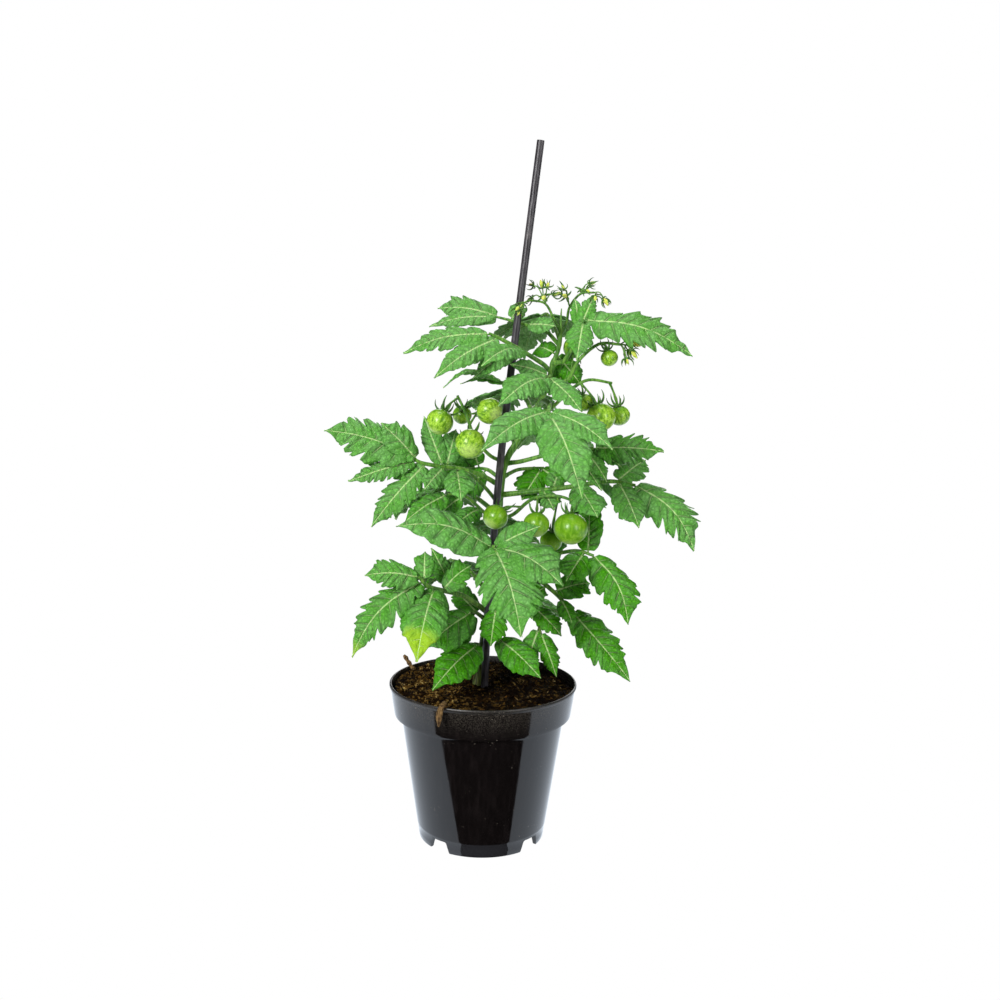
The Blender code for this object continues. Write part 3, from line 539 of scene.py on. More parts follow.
def blade_surface(across, share, base, tip, width, turn, arch, cut, facing, seed, bow):
    """Points in mm of a blade at places across (-1 to 1) and along (0 to 1) it, with the vein
    order and the half width there, and the way the blade faces."""
    chord = tip - base
    length = chord.length
    forward = chord.normalized()
    lift = math.radians(turn)
    up = Vector((facing[0] * math.sin(lift), facing[1] * math.sin(lift), math.cos(lift)))
    face = (up - forward * up.dot(forward)).normalized()
    side = np.array(forward.cross(face))
    forward, face = np.array(forward), np.array(face)
    neck = min(0.14, SHORT_STALK / length)
    veins = max(3, round(length / float(np.clip(0.30 * width, *VEIN_GAPS))))
    away = np.abs(across)
    # the veins' order, uneven from side to side and along the blade
    phase = 0.45 * (across > 0) + 0.22 * np.sin(seed + 5.0 * share)
    order = veins * share ** 0.9 + (phase + 0.12 * np.sin(2.0 * seed + 12.0 * share))
    lobe = np.floor(order)
    # the margin: a long oval, cut in between the veins and toothed at their ends
    outline = np.maximum(0.03, np.sin(np.pi * np.clip(share, 0, 1) ** 0.56)) ** 0.92
    fade = np.clip((0.80 - share) / 0.22, 0, 1) * np.clip(share / 0.05, 0, 1)
    peak = np.abs(np.cos(np.pi * order))
    tooth = np.cos(np.pi * (2.0 * order + 0.22 + 0.3 * np.sin(seed * 2.3))) ** 2
    sharp = min(1.0, 3.0 * cut)
    valley = sharp * (1 - peak) ** 1.5 + (1 - sharp) * 0.6 * (1 - peak ** 2)
    notch = 0.75 + 0.45 * np.sin(2.7 * lobe + 3.0 * seed + 2.0 * (across > 0))
    rim = outline * (1 - fade * (0.015 + 0.78 * cut) * notch * valley)
    rim *= 1 - np.minimum(1.0, fade + 0.3) * (0.015 + 0.09 * cut) * (1 - tooth)
    rim *= 1 + 0.05 * np.sin(seed * 1.9 + 4.0 * share) * across
    half = width / 2 * rim * (1.08 + 0.26 * cut)
    # rows lean with the veins, and fall back at the base
    place = neck + (1 - neck) * share
    lean = (VEIN_LEAN + 0.09 * math.sin(3.3 * seed)) * (1 - np.exp(-share / 0.15))
    lean = lean + BASE_LEAN * np.exp(-share / 0.07)
    ahead = place * length + away * half * np.tan(lean) * np.minimum(1.0, (1 - share) / 0.4)
    ahead += away ** 3 * width * (0.01 + 0.10 * cut) * fade * (peak - 0.5)
    aside = across * half + bow * np.sin(np.pi * place)
    # relief: arch and trough, swellings, the midrib's groove, a wavy margin, droop and puffs
    raised = arch * np.sin(np.pi * place) + half * (0.16 * away - 0.34 * away ** 2)
    beside = np.sin(np.pi * np.minimum(1, 1.03 * away)) ** 0.6
    swell = min(SWELL, SWELL_SHARE * width) * (np.sin(np.pi * order) ** 2) ** 0.8 * beside
    swell *= np.clip((1.0 - share) / 0.2, 0, 1) * (0.85 + 0.3 * np.sin(9.0 * away + 2.0 * lobe + seed))
    groove = GROOVE_DEPTH * np.exp(-(across * half / GROOVE_WIDTH) ** 2)
    wave = 0.055 * width * away ** 2.2 * np.sin(np.pi * order + 1.7 * seed) * (0.5 + cut)
    droop = 0.06 * length * share ** 3 * math.sin(seed * 2.9)
    puff = min(PUFF, PUFF_SHARE * width) * np.minimum(1, 4 * away * (1 - away))
    ripple = puff * np.sin(1.9 * across * half + 2.5 * order + seed) * np.sin(2.0 * ahead + 0.7 * seed)
    raised = raised + swell - groove + wave + ripple + droop
    points = np.array(base) + np.outer(ahead, forward) + np.outer(aside, side) + np.outer(raised, face)
    return points, order, half, face


print("a vein leans", round(math.degrees(VEIN_LEAN)), "degrees, and a blade is", BLADE_THICKNESS, "mm thick")

# %% [markdown]
# The grid is a plain primitive whose points all move at once. The vein map and the values that
# the finish reads are stored on it, and the line of its midrib is kept for a fine rib.

# %% One blade
ROW_LENGTH, COLUMN_WIDTH = 0.8, 2.2     # mm between two rows and two columns of the grid
RIB_POINTS = 12


def blade(name, leaflet, base, facing, tone_and_painted_light, old, seed, bow):
    """One leaflet as a sheet, with its vein map and its tone, edge, age and along attributes."""
    tip, width, *bend = leaflet
    shape = (base, Vector(tip), width, *bend, facing, seed, bow)
    rows = int(np.clip((Vector(tip) - base).length / ROW_LENGTH, 20, 68))
    columns = 2 * int(np.clip(width / COLUMN_WIDTH, 5, 10))
    sheet = primitive(bpy.ops.mesh.primitive_grid_add, name, x_subdivisions=columns, y_subdivisions=rows,
                      size=2.0, calc_uvs=False)
    mesh = sheet.data
    grid = np.empty(len(mesh.vertices) * 3)
    mesh.vertices.foreach_get("co", grid)
    grid = grid.reshape(-1, 3)
    across, share = grid[:, 0], (grid[:, 1] + 1) / 2
    points, order, half, face = blade_surface(across, share, *shape)
    mesh.vertices.foreach_set("co", (points * MM).ravel())
    corner = np.empty(len(mesh.loops), int)
    mesh.loops.foreach_get("vertex_index", corner)
    vein_map = np.stack([0.5 + across * half * 0.01, order * 0.1], 1)
    mesh.uv_layers.new(name="blade").data.foreach_set("uv", vein_map[corner].ravel())
    turned = np.clip((share - (1 - old)) / 0.5, 0, 0.8) * (old > 0)
    kept = {"tone_and_painted_light": np.full(len(across), tone_and_painted_light), "edge": np.abs(across), "age": turned, "along": share}
    for key, values in kept.items():
        mesh.attributes.new(key, "FLOAT", "POINT").data.foreach_set("value", values.astype(np.float32))
    mesh.materials.append(leaf_top)
    mesh.materials.append(leaf_under)
    rib_share = np.linspace(0.0, 0.92, RIB_POINTS)
    rib, *_ = blade_surface(np.zeros(RIB_POINTS), rib_share, *shape)
    depth = np.minimum(1.0, rib_share * 8) * (1.0 - 0.6 * rib_share) * (0.55 + 0.012 * width)
    return sheet, [base, *[Vector(p) for p in rib - np.outer(depth, face)]]


print("blade routine ready")

# %% [markdown]
# A compound leaf is one growth: a stalk that thins towards its end, with leaflets of unlike
# sizes on short stalks of their own. The blades get their thickness together, with the paler
# underside as the second material slot. The ribs are fine tubes just under the skin.

# %% Compound leaves
STALK_TAPER = (1.35, 1.1, 1.0, 0.9, 0.62)       # shares of the stalk's radius, from the stem outwards
RIB_TAPER = (1.0, 0.8, 0.45)
RIB_END = 0.12                                  # mm


def compound_leaf(number, height, radius, tone_and_painted_light, points, leaflets, facing):
    line = stalk_line(height, points)
    sheets, ribs = [], []
    for k, (share, *leaflet) in enumerate([*leaflets, *SMALL_LEAFLETS.get(number, [])]):
        seed = number * 1.37 + k * 2.11
        shade = tone_and_painted_light + 0.12 * math.sin(seed * 3.1)
        old, bow = OLD_BLADES.get((number, k), 0.0), BOWED_BLADES.get((number, k), 0.0)
        base = along_route(line, share)
        sheet, rib = blade(f"blade_{number}_{k}", leaflet, base, facing, shade, old, seed, bow)
        sheets.append(sheet)
        thick = 0.42 + 0.012 * leaflet[1]
        taper = [*[thick * part for part in RIB_TAPER], RIB_END]
        ribs.append(tube(f"rib_{number}_{k}", rib, taper, stalk_green, 1))
    blades = joined(f"blades_{number}", sheets)
    wall = blades.modifiers.new("thickness", "SOLIDIFY")
    wall.thickness = BLADE_THICKNESS * MM
    wall.offset = -1.0
    wall.material_offset = 1
    apply_all(blades)
    bpy.ops.object.shade_smooth()
    route = smooth_route([stem_at(height)[0], *line], 5)
    stalk = tube(f"stalk_{number}", route, [radius * part for part in STALK_TAPER], stalk_green, 3)
    leaf = joined(f"compound_leaf_{number:02d}", [blades, stalk, *ribs])
    return settled(leaf, "leaf", f"leaf_{number:02d}")


for number, (height, radius, tone_and_painted_light, points, leaflets) in enumerate(FRONT_LEAVES, 1):
    compound_leaf(number, height, radius, tone_and_painted_light, points, leaflets, FRONT)
print(len(FRONT_LEAVES), "leaves on the front half")

# %% [markdown]
# The far side of the plant has whole leaves of the usual pattern: two staggered pairs of
# leaflets and one at the end. They follow a rule, each with its own heading and height.

# %% Leaves of the far side
BACK_STALK = 1.6
BACK_END = (50.0 * 0.85, 22.0)      # length and width in mm of the leaflet at the end


def back_leaflets(height, heading, reach, climb):
    start, _ = stem_at(height)
    out = Vector((math.cos(math.radians(heading)), math.sin(math.radians(heading)), 0.0))
    sideways = Vector((-out.y, out.x, 0.0))
    points = [start + out * (reach * s) + Vector((0, 0, climb * math.sin(math.pi * 0.62 * s) * 1.1))
              for s in (0.35, 0.7, 1.0)]
    line = stalk_line(height, points)
    leaflets = []
    for share, length, width in BACK_PAIRS:
        for hand in (-1, 1):
            heading_out = out * math.cos(BACK_ANGLE) + sideways * (hand * math.sin(BACK_ANGLE))
            spot = share + hand * BACK_STAGGER
            tip = along_route(line, spot) + (heading_out - Vector((0, 0, BACK_DROP))) * length
            leaflets.append((spot, tip, width, 28, 3.0, 0.35))
    end = line[-1] + (out - Vector((0, 0, BACK_DROP * 1.5))) * BACK_END[0]
    leaflets.append((0.98, end, BACK_END[1], 38, 5.0, 0.45))
    return points, leaflets, (out.x, out.y)


# the far leaves get a bluish tone above 200 mm and a deeper one below: painted highlight and painted shade by
# height
for number, (height, heading, reach, climb) in enumerate(BACK_LEAVES, len(FRONT_LEAVES) + 1):
    points, leaflets, out = back_leaflets(height, heading, reach, climb)
    compound_leaf(number, height, BACK_STALK, 0.35 + 0.5 * (height > 200), points, leaflets, out)
print(number, "leaves in all")

# %% [markdown]
# ## Main stem
# The stem is thickest at the soil and swells a little at each leaf. A smooth tube would look
# like wire, so its skin gets low ridges and swellings by moving its points outwards.

# %% Main stem
JOINT_SWELL, JOINT_LENGTH = 0.16, 3.2       # share of the radius, and mm along the stem
FOOT_SWELL, FOOT_HEIGHT, FOOT_LENGTH = 0.7, 106.0, 6.0
GROWING_TIP = [0.28 + 0.12 * k for k in range(6)]       # shares of the radius, from the end


def main_stem():
    route = smooth_route([Vector(p) for p in STEM_ROUTE], 8)
    joints = [row[0] for row in FRONT_LEAVES + BACK_LEAVES]
    radii = []
    for spot in route:
        _, radius = stem_at(min(max(spot.z, 92.0), 366.9))
        swell = max(math.exp(-((spot.z - joint) / JOINT_LENGTH) ** 2) for joint in joints)
        foot = FOOT_SWELL * math.exp(-((spot.z - FOOT_HEIGHT) / FOOT_LENGTH) ** 2)
        radii.append(radius * (1.0 + JOINT_SWELL * swell) + foot)
    for k, part in enumerate(GROWING_TIP, 1):
        radii[-k] *= part
    stem = tube("plant_stem", route, radii, stalk_green, 5)
    lumpy(stem, 400.0, 0.25)
    return settled(stem, "stalk", "main_stem")


stem = main_stem()
print("stem", len(stem.data.polygons), "faces")

# %% [markdown]
# ## Tomatoes
# Unripe fruit is pale green with darker, broken streaks from the stalk end down, under a waxy
# satin skin. The flesh lets a little light through. Each fruit carries its own upright
# coordinates as an attribute, so that the streaks run from pole to pole on every one.

# %% Fruit finish


def fruit_finish():
    finish, node = new_finish(
        "unripe_tomato_skin", Roughness=0.33, IOR=1.42, Coat_Weight=0.15, Coat_Roughness=0.15,
        Subsurface_Weight=0.1, Subsurface_Scale=0.002, Subsurface_Radius=(0.9, 1.0, 0.25))
    place = node("Attribute", out="Vector", attribute_name="fruit")
    upright = node("SeparateXYZ", (place,), out=2)
    streaks = node("Mapping", {"Vector": place, "Scale": (5.5, 5.5, 1.1)})
    broad = node("TexNoise", {"Vector": streaks, "Scale": 1.0, "Detail": 3.0, "Distortion": 0.4})
    fine = node("TexNoise", {"Vector": place, "Scale": 9.0, "Detail": 4.0})
    height = node("SeparateXYZ", (node("TexCoord", out="Object"),), out=2)
    skin = "#84b816"
    # flecks, streaks, the green shoulder, painted shade on fruit low in the plant, and the pale blossom end
    for limits, over in (((fine, 0.35, 0.65), "#b2da50"), ((broad, 0.44, 0.66, 0.0, 0.85), "#457d04"),
                         ((upright, 0.1, 0.95, 0.0, 0.8), "#4a8414"),
                         ((height, 0.24, 0.28, 0.65, 0.0), "#5a9204"),
                         ((upright, -0.7, -0.98, 0.0, 0.4), "#cfe48c")):
        skin = node("Mix", {0: node("MapRange", limits), 6: skin, 7: over})
    dress(finish, Base_Color=skin,
          Normal=node("Bump", {"Height": fine, "Distance": 0.08 * MM, "Strength": 0.3}))
    return finish


tomato_skin = fruit_finish()
print("fruit finish:", tomato_skin.name)

# %% [markdown]
# One fruit is modelled: a globe, a little flat, dimpled round the stalk and very slightly
# lobed. Every tomato is a copy of it at its own size, leaning to where its stalk pulls. A truss
# row has its height on the stem and its stalk's points, and a tomato row its truss, its share
# along that stalk, its centre and its radius in mm.

# %% Fruit measures
TRUSSES = {
    "left": (262, [(2, 5, 268), (-8, 2, 280), (-14, 3, 296), (-20, 4, 308)]),
    "right": (296, [(44, 2, 301), (56, 0, 313), (68, -1, 320), (84, 1, 318)]),
    "upper": (313, [(55, 0, 321), (61, -3, 333), (74, -5, 344), (88, -8, 344)]),
    "centre": (222, [(20, 3, 228), (32, -8, 240), (48, -14, 243), (60, -18, 240)]),
    "back": (182, [(12, 19, 192), (18, 30, 198), (28, 36, 197)]),
}
TOMATOES = [
    ("left", 0.97, (-31, -8, 291), 9.0), ("left", 0.85, (-17, 16, 294), 6.6),
    ("left", 0.62, (2, -13, 299), 8.7), ("left", 0.40, (-10, -33, 279), 9.8),
    ("right", 0.62, (76, -12, 296), 9.8), ("right", 0.97, (90, 7, 296), 7.3),
    ("right", 0.45, (66, -3, 305), 6.0), ("upper", 0.80, (81, -6, 335), 5.8),
    ("centre", 0.30, (7, -25, 230), 8.4), ("centre", 0.55, (34, -29, 226), 8.6),
    ("centre", 0.97, (57, -25, 223), 11.3), ("centre", 0.80, (45, -6, 211), 7.6),
    ("upper", 0.30, (58, 9, 341), 7.0), ("back", 0.60, (14, 34, 180), 9.0),
    ("back", 0.97, (34, 38, 178), 9.6),
]
FLATTENING = 0.95
LOBES, LOBE_DEPTH = 5, 0.018                # depths and widths as shares of the radius
STALK_DIMPLE, BLOSSOM_DIMPLE = (0.20, 0.26), (0.03, 0.1)


def make_fruit():
    fruit = primitive(bpy.ops.mesh.primitive_uv_sphere_add, "fruit_pattern",
                      segments=48, ring_count=28, radius=1.0)
    places = []
    for vert in fruit.data.vertices:
        x, y, z = vert.co
        places.extend((x, y, z))
        flat = math.hypot(x, y)
        lobes = 1.0 + LOBE_DEPTH * math.cos(LOBES * math.atan2(y, x) + 0.6) * flat
        depth, spread = STALK_DIMPLE if z > 0 else BLOSSOM_DIMPLE
        dimple = depth * math.exp(-(flat / spread) ** 2)
        vert.co = (x * lobes, y * lobes, (z - math.copysign(dimple, z)) * FLATTENING)
    fruit.data.attributes.new("fruit", "FLOAT_VECTOR", "POINT").data.foreach_set("vector", places)
    bpy.ops.object.shade_smooth()
    fruit.data.materials.append(tomato_skin)
    return fruit


fruit_pattern = make_fruit()
print("one fruit has", len(fruit_pattern.data.polygons), "faces")

# %% [markdown]
# Each tomato hangs from a thin stalk with the swollen knee that tomatoes have, and under it a
# calyx: a small green cap with five or six narrow sepals that curl up and back. The sepal is
# modelled once, too, as a tube drawn out to a point and flattened.

# %% Sepals and their cap
SEPAL_LINE = ((0.4, 0, 0), (2.4, 0, -0.3), (4.6, 0, 0.5), (6.3, 0, 2.2), (7.2, 0, 4.3), (7.4, 0, 6.0))
SEPAL_WIDER, SEPAL_FLATTER = 1.25, 0.95


def make_sepal():
    route = smooth_route([Vector(p) for p in SEPAL_LINE], 2)
    sepal = tube("sepal_pattern", route, [0.75, 0.85, 0.6, 0.35, 0.1], sepal_green, 1)
    for vert in sepal.data.vertices:
        vert.co.y *= SEPAL_WIDER
        vert.co.z *= SEPAL_FLATTER
    return sepal


def copy_of(pattern, name, matrix):
    """A copy with a mesh of its own, shaped by a matrix."""
    copy = pattern.copy()
    copy.data = pattern.data.copy()
    copy.name = name
    bpy.context.scene.collection.objects.link(copy)
    copy.data.transform(matrix)
    return copy


def facing_up(axis):
    return Vector((0, 0, 1)).rotation_difference(axis).to_matrix().to_4x4()


def calyx(name, spot, axis, size, count, seed):
    """Sepals round a spot in mm, and the little cap that they grow from."""
    parts = []
    for k in range(count):
        turn = Matrix.Rotation(2 * math.pi * (k + 0.22 * math.sin(seed + 3 * k)) / count, 4, "Z")
        lift = Matrix.Rotation(math.radians(-8 + 16 * math.sin(seed * 1.7 + 2.3 * k)), 4, "Y")
        longer = Matrix.Scale(size * (1 + 0.16 * math.sin(seed + 1.9 * k)), 4)
        place = Matrix.Translation(spot * MM) @ facing_up(axis) @ turn @ lift @ longer
        parts.append(copy_of(sepal_pattern, f"{name}_sepal_{k}", place))
    cap = [spot - axis * 0.5 * size, spot + axis * 0.6 * size, spot + axis * 1.6 * size]
    parts.append(tube(f"{name}_cap", cap, [1.7 * size, 1.5 * size, 0.8 * size], stalk_green, 2))
    return parts


sepal_pattern = make_sepal()
print("a sepal reaches", SEPAL_LINE[-1][0], "mm out and", SEPAL_LINE[-1][2], "mm up")

# %% [markdown]
# The newest trusses carry closed buds: pale yellow drops in long, spiky sepals, on hair-thin
# stalks that branch and nod. One bud is modelled and copied.

# %% Bud finish and shape
BUD_RADIUS = 1.15 * MM
BUD_STRETCH, BUD_LIFT = 2.1, 2.2 * MM
BUD_TAPER = 0.45


def bud_finish():
    finish, node = new_finish("tomato_flower_bud", Roughness=0.5, IOR=1.42, Subsurface_Weight=0.2,
                              Subsurface_Scale=0.001, Sheen_Weight=0.3)
    speckle = node("TexNoise", {"Vector": node("TexCoord", out="Object"), "Scale": 900.0, "Detail": 2.0})
    share = node("MapRange", (speckle, 0.35, 0.65))
    dress(finish, Base_Color=node("Mix", {0: share, 6: "#a7c840", 7: "#e0dc62"}))
    return finish


def make_bud():
    bud = primitive(bpy.ops.mesh.primitive_uv_sphere_add, "bud_pattern",
                    segments=10, ring_count=8, radius=BUD_RADIUS)
    for vert in bud.data.vertices:
        slim = 1.0 - BUD_TAPER * max(0.0, vert.co.z / BUD_RADIUS)
        vert.co = (vert.co.x * slim, vert.co.y * slim, vert.co.z * BUD_STRETCH + BUD_LIFT)
    bpy.ops.object.shade_smooth()
    bud.data.materials.append(bud_finish())
    return bud


def bud_on_stalk(name, start, tip, seed):
    """A hair-thin stalk that arches from a start to a tip, with a bud that nods at its end."""
    middle = start.lerp(tip, 0.55) + Vector((0, 0, 0.22 * (tip - start).length))
    route = smooth_route([start, middle, tip], 5)
    ahead = (route[-1] - route[-2]).normalized()
    parts = [tube(f"{name}_hair", route, [0.55, 0.42, 0.4, 0.5], stalk_green, 1)]
    place = Matrix.Translation(tip * MM) @ facing_up(ahead) @ Matrix.Scale(1.1 + 0.3 * math.sin(seed), 4)
    parts.append(copy_of(bud_pattern, f"{name}_bud", place))
    parts += calyx(name, tip, ahead, 0.62, 5, seed)
    return parts


def unopened_end(spot):
    """The youngest flowers at the end of a truss that already bears fruit."""
    parts = []
    for k in range(6):
        swing = 1.1 * k
        step = (5.5 + 2.2 * math.sin(swing), 3.5 * math.cos(1.7 * swing), 1.0 - 2.6 * k + 3.0 * (k % 2))
        parts += bud_on_stalk(f"late_{k}", spot, spot + Vector(step), swing)
    return parts


bud_pattern = make_bud()
print("one bud has", len(bud_pattern.data.polygons), "faces")

# %% [markdown]
# Now the fruit goes on its trusses. The fruit hangs straight down from the line between its
# centre and the place where its stalk leaves the truss, pulled a little upright by its weight.

# %% Fruit on its trusses
TRUSS_TAPER = [1.7, 1.35, 1.25, 1.1, 0.9]       # radii in mm
FRUIT_STALK = [0.95, 0.75, 0.7, 0.75, 1.15, 0.75, 0.7, 0.8, 1.0]        # the knee is in the middle
UPRIGHT_PULL = Vector((0, 0, 0.6))


def make_truss(name, height, points, seed):
    line = stalk_line(height, points)
    route = smooth_route([stem_at(height)[0], *line], 5)
    parts = [tube(f"truss_{name}_main", route, TRUSS_TAPER, stalk_green, 3)]
    own_fruit = [row[1:] for row in TOMATOES if row[0] == name]
    for number, (share, spot, radius) in enumerate(own_fruit, 1):
        centre = Vector(spot)
        anchor = along_route(line, share)
        axis = ((anchor - centre).normalized() + UPRIGHT_PULL).normalized()
        top = centre + axis * (radius * (FLATTENING - 0.16))
        turn = Matrix.Rotation(2.4 * number + seed, 4, "Z")
        place = Matrix.Translation(centre * MM) @ facing_up(axis) @ turn @ Matrix.Scale(radius * MM, 4)
        fruit = copy_of(fruit_pattern, f"fruit_{name}_{number}", place)
        settled(fruit, "tomato", f"tomato_{name}_{number}")
        knee = top.lerp(anchor, 0.5) + Vector((0, 0, 1.5))
        route = smooth_route([top, top + axis * 1.8, knee, anchor], 4)
        parts.append(tube(f"{name}_stalk_{number}", route, FRUIT_STALK, stalk_green, 2))
        size = min(1.15, 0.55 + radius * 0.055)
        parts += calyx(f"{name}_{number}", top + axis * 0.9, axis, size, 6, number + seed)
    return parts


for k, (name, (height, points)) in enumerate(TRUSSES.items()):
    parts = make_truss(name, height, points, 1.3 * k)
    if name == "upper":
        parts += unopened_end(stalk_line(height, points)[-1])
    settled(joined(f"fruit_truss_{name}", parts), "stalk", f"truss_{name}")
print(len(TOMATOES), "tomatoes on", len(TRUSSES), "trusses")

# %% [markdown]
# ## Flower trusses
# At the very top two trusses are still all buds. Each branch carries three of them.

# %% Flower trusses
FLOWER_TRUSSES = {
    "left": (352, [(44, 1, 360), (38, 0, 370), (28, -4, 372)], [
        [(40, 1, 368), (39, -6, 381)], [(36, 0, 371), (30, 6, 382)], [(28, -4, 372), (21, -9, 365)]]),
    "right": (348, [(53, 9, 358), (55, 14, 368), (62, 14, 377), (71, 9, 378)], [
        [(55, 14, 368), (51, 10, 380)], [(62, 14, 377), (68, 16, 384)], [(71, 9, 378), (77, 2, 374)]]),
}
FLOWER_TRUSS_TAPER = [1.1, 0.95, 0.85, 0.7]
BUDS_ON_BRANCH = 3


def flower_truss(name, height, points, branches, seed):
    line = stalk_line(height, points)
    route = smooth_route([stem_at(height)[0], *line], 5)
    parts = [tube(f"flowers_{name}_main", route, FLOWER_TRUSS_TAPER, stalk_green, 2)]
    number = 0
    for near, tip in branches:
        near, tip = Vector(near), Vector(tip)
        root = min(line, key=lambda p: (p - near).length)
        for k in range(BUDS_ON_BRANCH):
            number += 1
            swing = seed + 2.4 * number
            spread = Vector((math.cos(swing) * 4.5, math.sin(swing * 1.3) * 5.0, math.sin(swing * 0.7) * 3.0))
            end = tip.lerp(root, 0.22 * k) + spread * (k > 0)
            parts += bud_on_stalk(f"{name}_{number}", root.lerp(tip, 0.15 * k), end, swing)
    return parts


for k, (name, (height, points, branches)) in enumerate(FLOWER_TRUSSES.items()):
    parts = flower_truss(name, height, points, branches, 1.0 + 2.0 * k)
    settled(joined(f"flower_truss_{name}", parts), "stalk", f"flowers_{name}")
for pattern in (fruit_pattern, sepal_pattern, bud_pattern):
    bpy.data.objects.remove(pattern)
print(len(FLOWER_TRUSSES), "trusses of buds, and the patterns are put away")

# %% [markdown]
# ## Stake
# The stake is a thin dark stick, nearly black, with a fine grain along it and a slight wear
# that shows as greyer streaks. Its top end is cut square, and its foot is pointed.

# %% Stake
STAKE_POINT = 1.4


def stake_finish():
    finish, node = new_finish("dark_plant_stake", Roughness=0.42, IOR=1.5)
    place = node("TexCoord", out="Object")
    long_grain = node("Mapping", {"Vector": place, "Scale": (1.0, 1.0, 0.05)})
    grain = node("TexNoise", {"Vector": long_grain, "Scale": 1100.0, "Detail": 5.0})
    wear = node("TexNoise", {"Vector": place, "Scale": 60.0, "Detail": 4.0})
    skin = "#1f1c20"
    for limits, over in (((grain, 0.35, 0.7), "#4a464b"), ((wear, 0.55, 0.8, 0.0, 0.5), "#77716f")):
        skin = node("Mix", {0: node("MapRange", limits), 6: skin, 7: over})
    dress(finish, Base_Color=skin,
          Normal=node("Bump", {"Height": grain, "Distance": 0.2 * MM, "Strength": 0.6}))
    return finish


route = smooth_route([Vector(p) for p in STAKE_ROUTE], 8)
stick = tube("plant_stake", route, [STAKE_POINT, *[STAKE_RADIUS] * 8], stake_finish(), 4)
bpy.ops.object.shade_smooth_by_angle(angle=math.radians(40))
settled(stick, "stake_plastic", "stake")
print("stake", len(stick.data.polygons), "faces")

# %% [markdown]
# ## Pot
# Nursery pots are moulded in thin black polypropylene. The skin is smooth enough to mirror a
# bright table along its sides, with fine scuffs, and dust and soil cling to the lip. The shape
# is one disc, extruded and resized up the inside, over the lip, down the collar and the body
# and under the foot. Notches and drain holes are cut out afterwards.

# %% Pot finish
DUSTY_FROM, DUSTY_TO = 0.086, 0.108         # heights in metres, from the collar's foot to the lip
FOOT_BAND = (0.0092, 0.0099)                # the foot's rough band ends here


def pot_finish():
    finish, node = new_finish("moulded_black_polypropylene", IOR=1.47)
    place = node("TexCoord", out="Object")
    height = node("SeparateXYZ", (place,), out=2)
    near_lip = node("MapRange", (height, DUSTY_FROM, DUSTY_TO))
    # specks of soil, denser in clouds and near the lip, and a thin film of powder on the collar
    grain = node("TexNoise", {"Vector": place, "Scale": 900.0, "Detail": 3.0})
    patches = node("TexNoise", {"Vector": place, "Scale": 45.0, "Detail": 4.0})
    cloud = node("Math", (node("MapRange", (patches, 0.42, 0.72)),
                          node("Math", (near_lip, 0.25), operation="MULTIPLY")), operation="ADD")
    limit = node("Math", (0.77, node("Math", (cloud, 0.12), operation="MULTIPLY")), operation="SUBTRACT")
    over = node("Math", (grain, limit), operation="SUBTRACT")
    specks = node("MapRange", (over, 0.0, 0.04, 0.0, 0.45))
    powder = node("MapRange", (node("TexNoise", {"Vector": place, "Scale": 1500.0}), 0.4, 0.7))
    thin = node("Math", (powder, 0.11, 0.005), operation="MULTIPLY_ADD")
    film = node("Math", (near_lip, thin), operation="MULTIPLY")
    dust = node("Math", (node("Math", (specks, film), operation="ADD"), 0.85), operation="MINIMUM")
    # upright scuffs, and a lip that handling has dulled
    upright = node("Mapping", {"Vector": place, "Scale": (1.0, 1.0, 0.16)})
    scuffs = node("TexNoise", {"Vector": upright, "Scale": 320.0, "Detail": 5.0})
    worn_lip = node("MapRange", (height, 0.1062, 0.1072, 0.0, 0.3))
    rough = node("Math", (node("MapRange", (scuffs, 0.35, 0.7, 0.06, 0.11)),
                          node("Math", (dust, 0.5, worn_lip), operation="MULTIPLY_ADD")), operation="ADD")
    skin = "#0d0a0a"
    for share, over in ((node("MapRange", (scuffs, 0.4, 0.8)), "#161212"),
                        (node("MapRange", (height, *FOOT_BAND, 1.0, 0.0)), "#252528"),
                        (dust, "#a39a8b")):
        skin = node("Mix", {0: share, 6: skin, 7: over})
    dress(finish, Base_Color=skin, Roughness=rough,
          Normal=node("Bump", {"Height": scuffs, "Distance": 0.03 * MM, "Strength": 0.35}))
    return finish


pot_black = pot_finish()
print("pot finish:", pot_black.name)

# %% Pot body
# radius and height in mm, from the middle of the floor up the inside, over the lip and down
POT_PROFILE = [
    (43.0, 7.6), (43.6, 8.2), (49.0, 48.0), (54.9, 86.6), (55.6, 87.6), (59.2, 88.7), (59.9, 89.4),
    (61.6, 99.0), (63.0, 107.6), (63.25, 109.0), (63.6, 109.8), (64.1, 110.0), (64.6, 109.85),
    (64.95, 109.3), (65.0, 108.7), (64.8, 108.0), (64.1, 107.2), (64.0, 106.6), (63.2, 101.0),
    (61.6, 90.2), (61.5, 89.4), (61.2, 88.3), (60.7, 87.9), (57.2, 87.3), (56.5, 86.6), (56.2, 85.0),
    (56.05, 84.0), (50.9, 49.0), (45.25, 10.6), (45.1, 9.6), (44.7, 9.0), (44.2, 4.0), (43.7, 0.5),
    (43.4, 0.0), (41.3, 0.0), (41.0, 0.4), (40.5, 5.6), (40.0, 6.0),
]


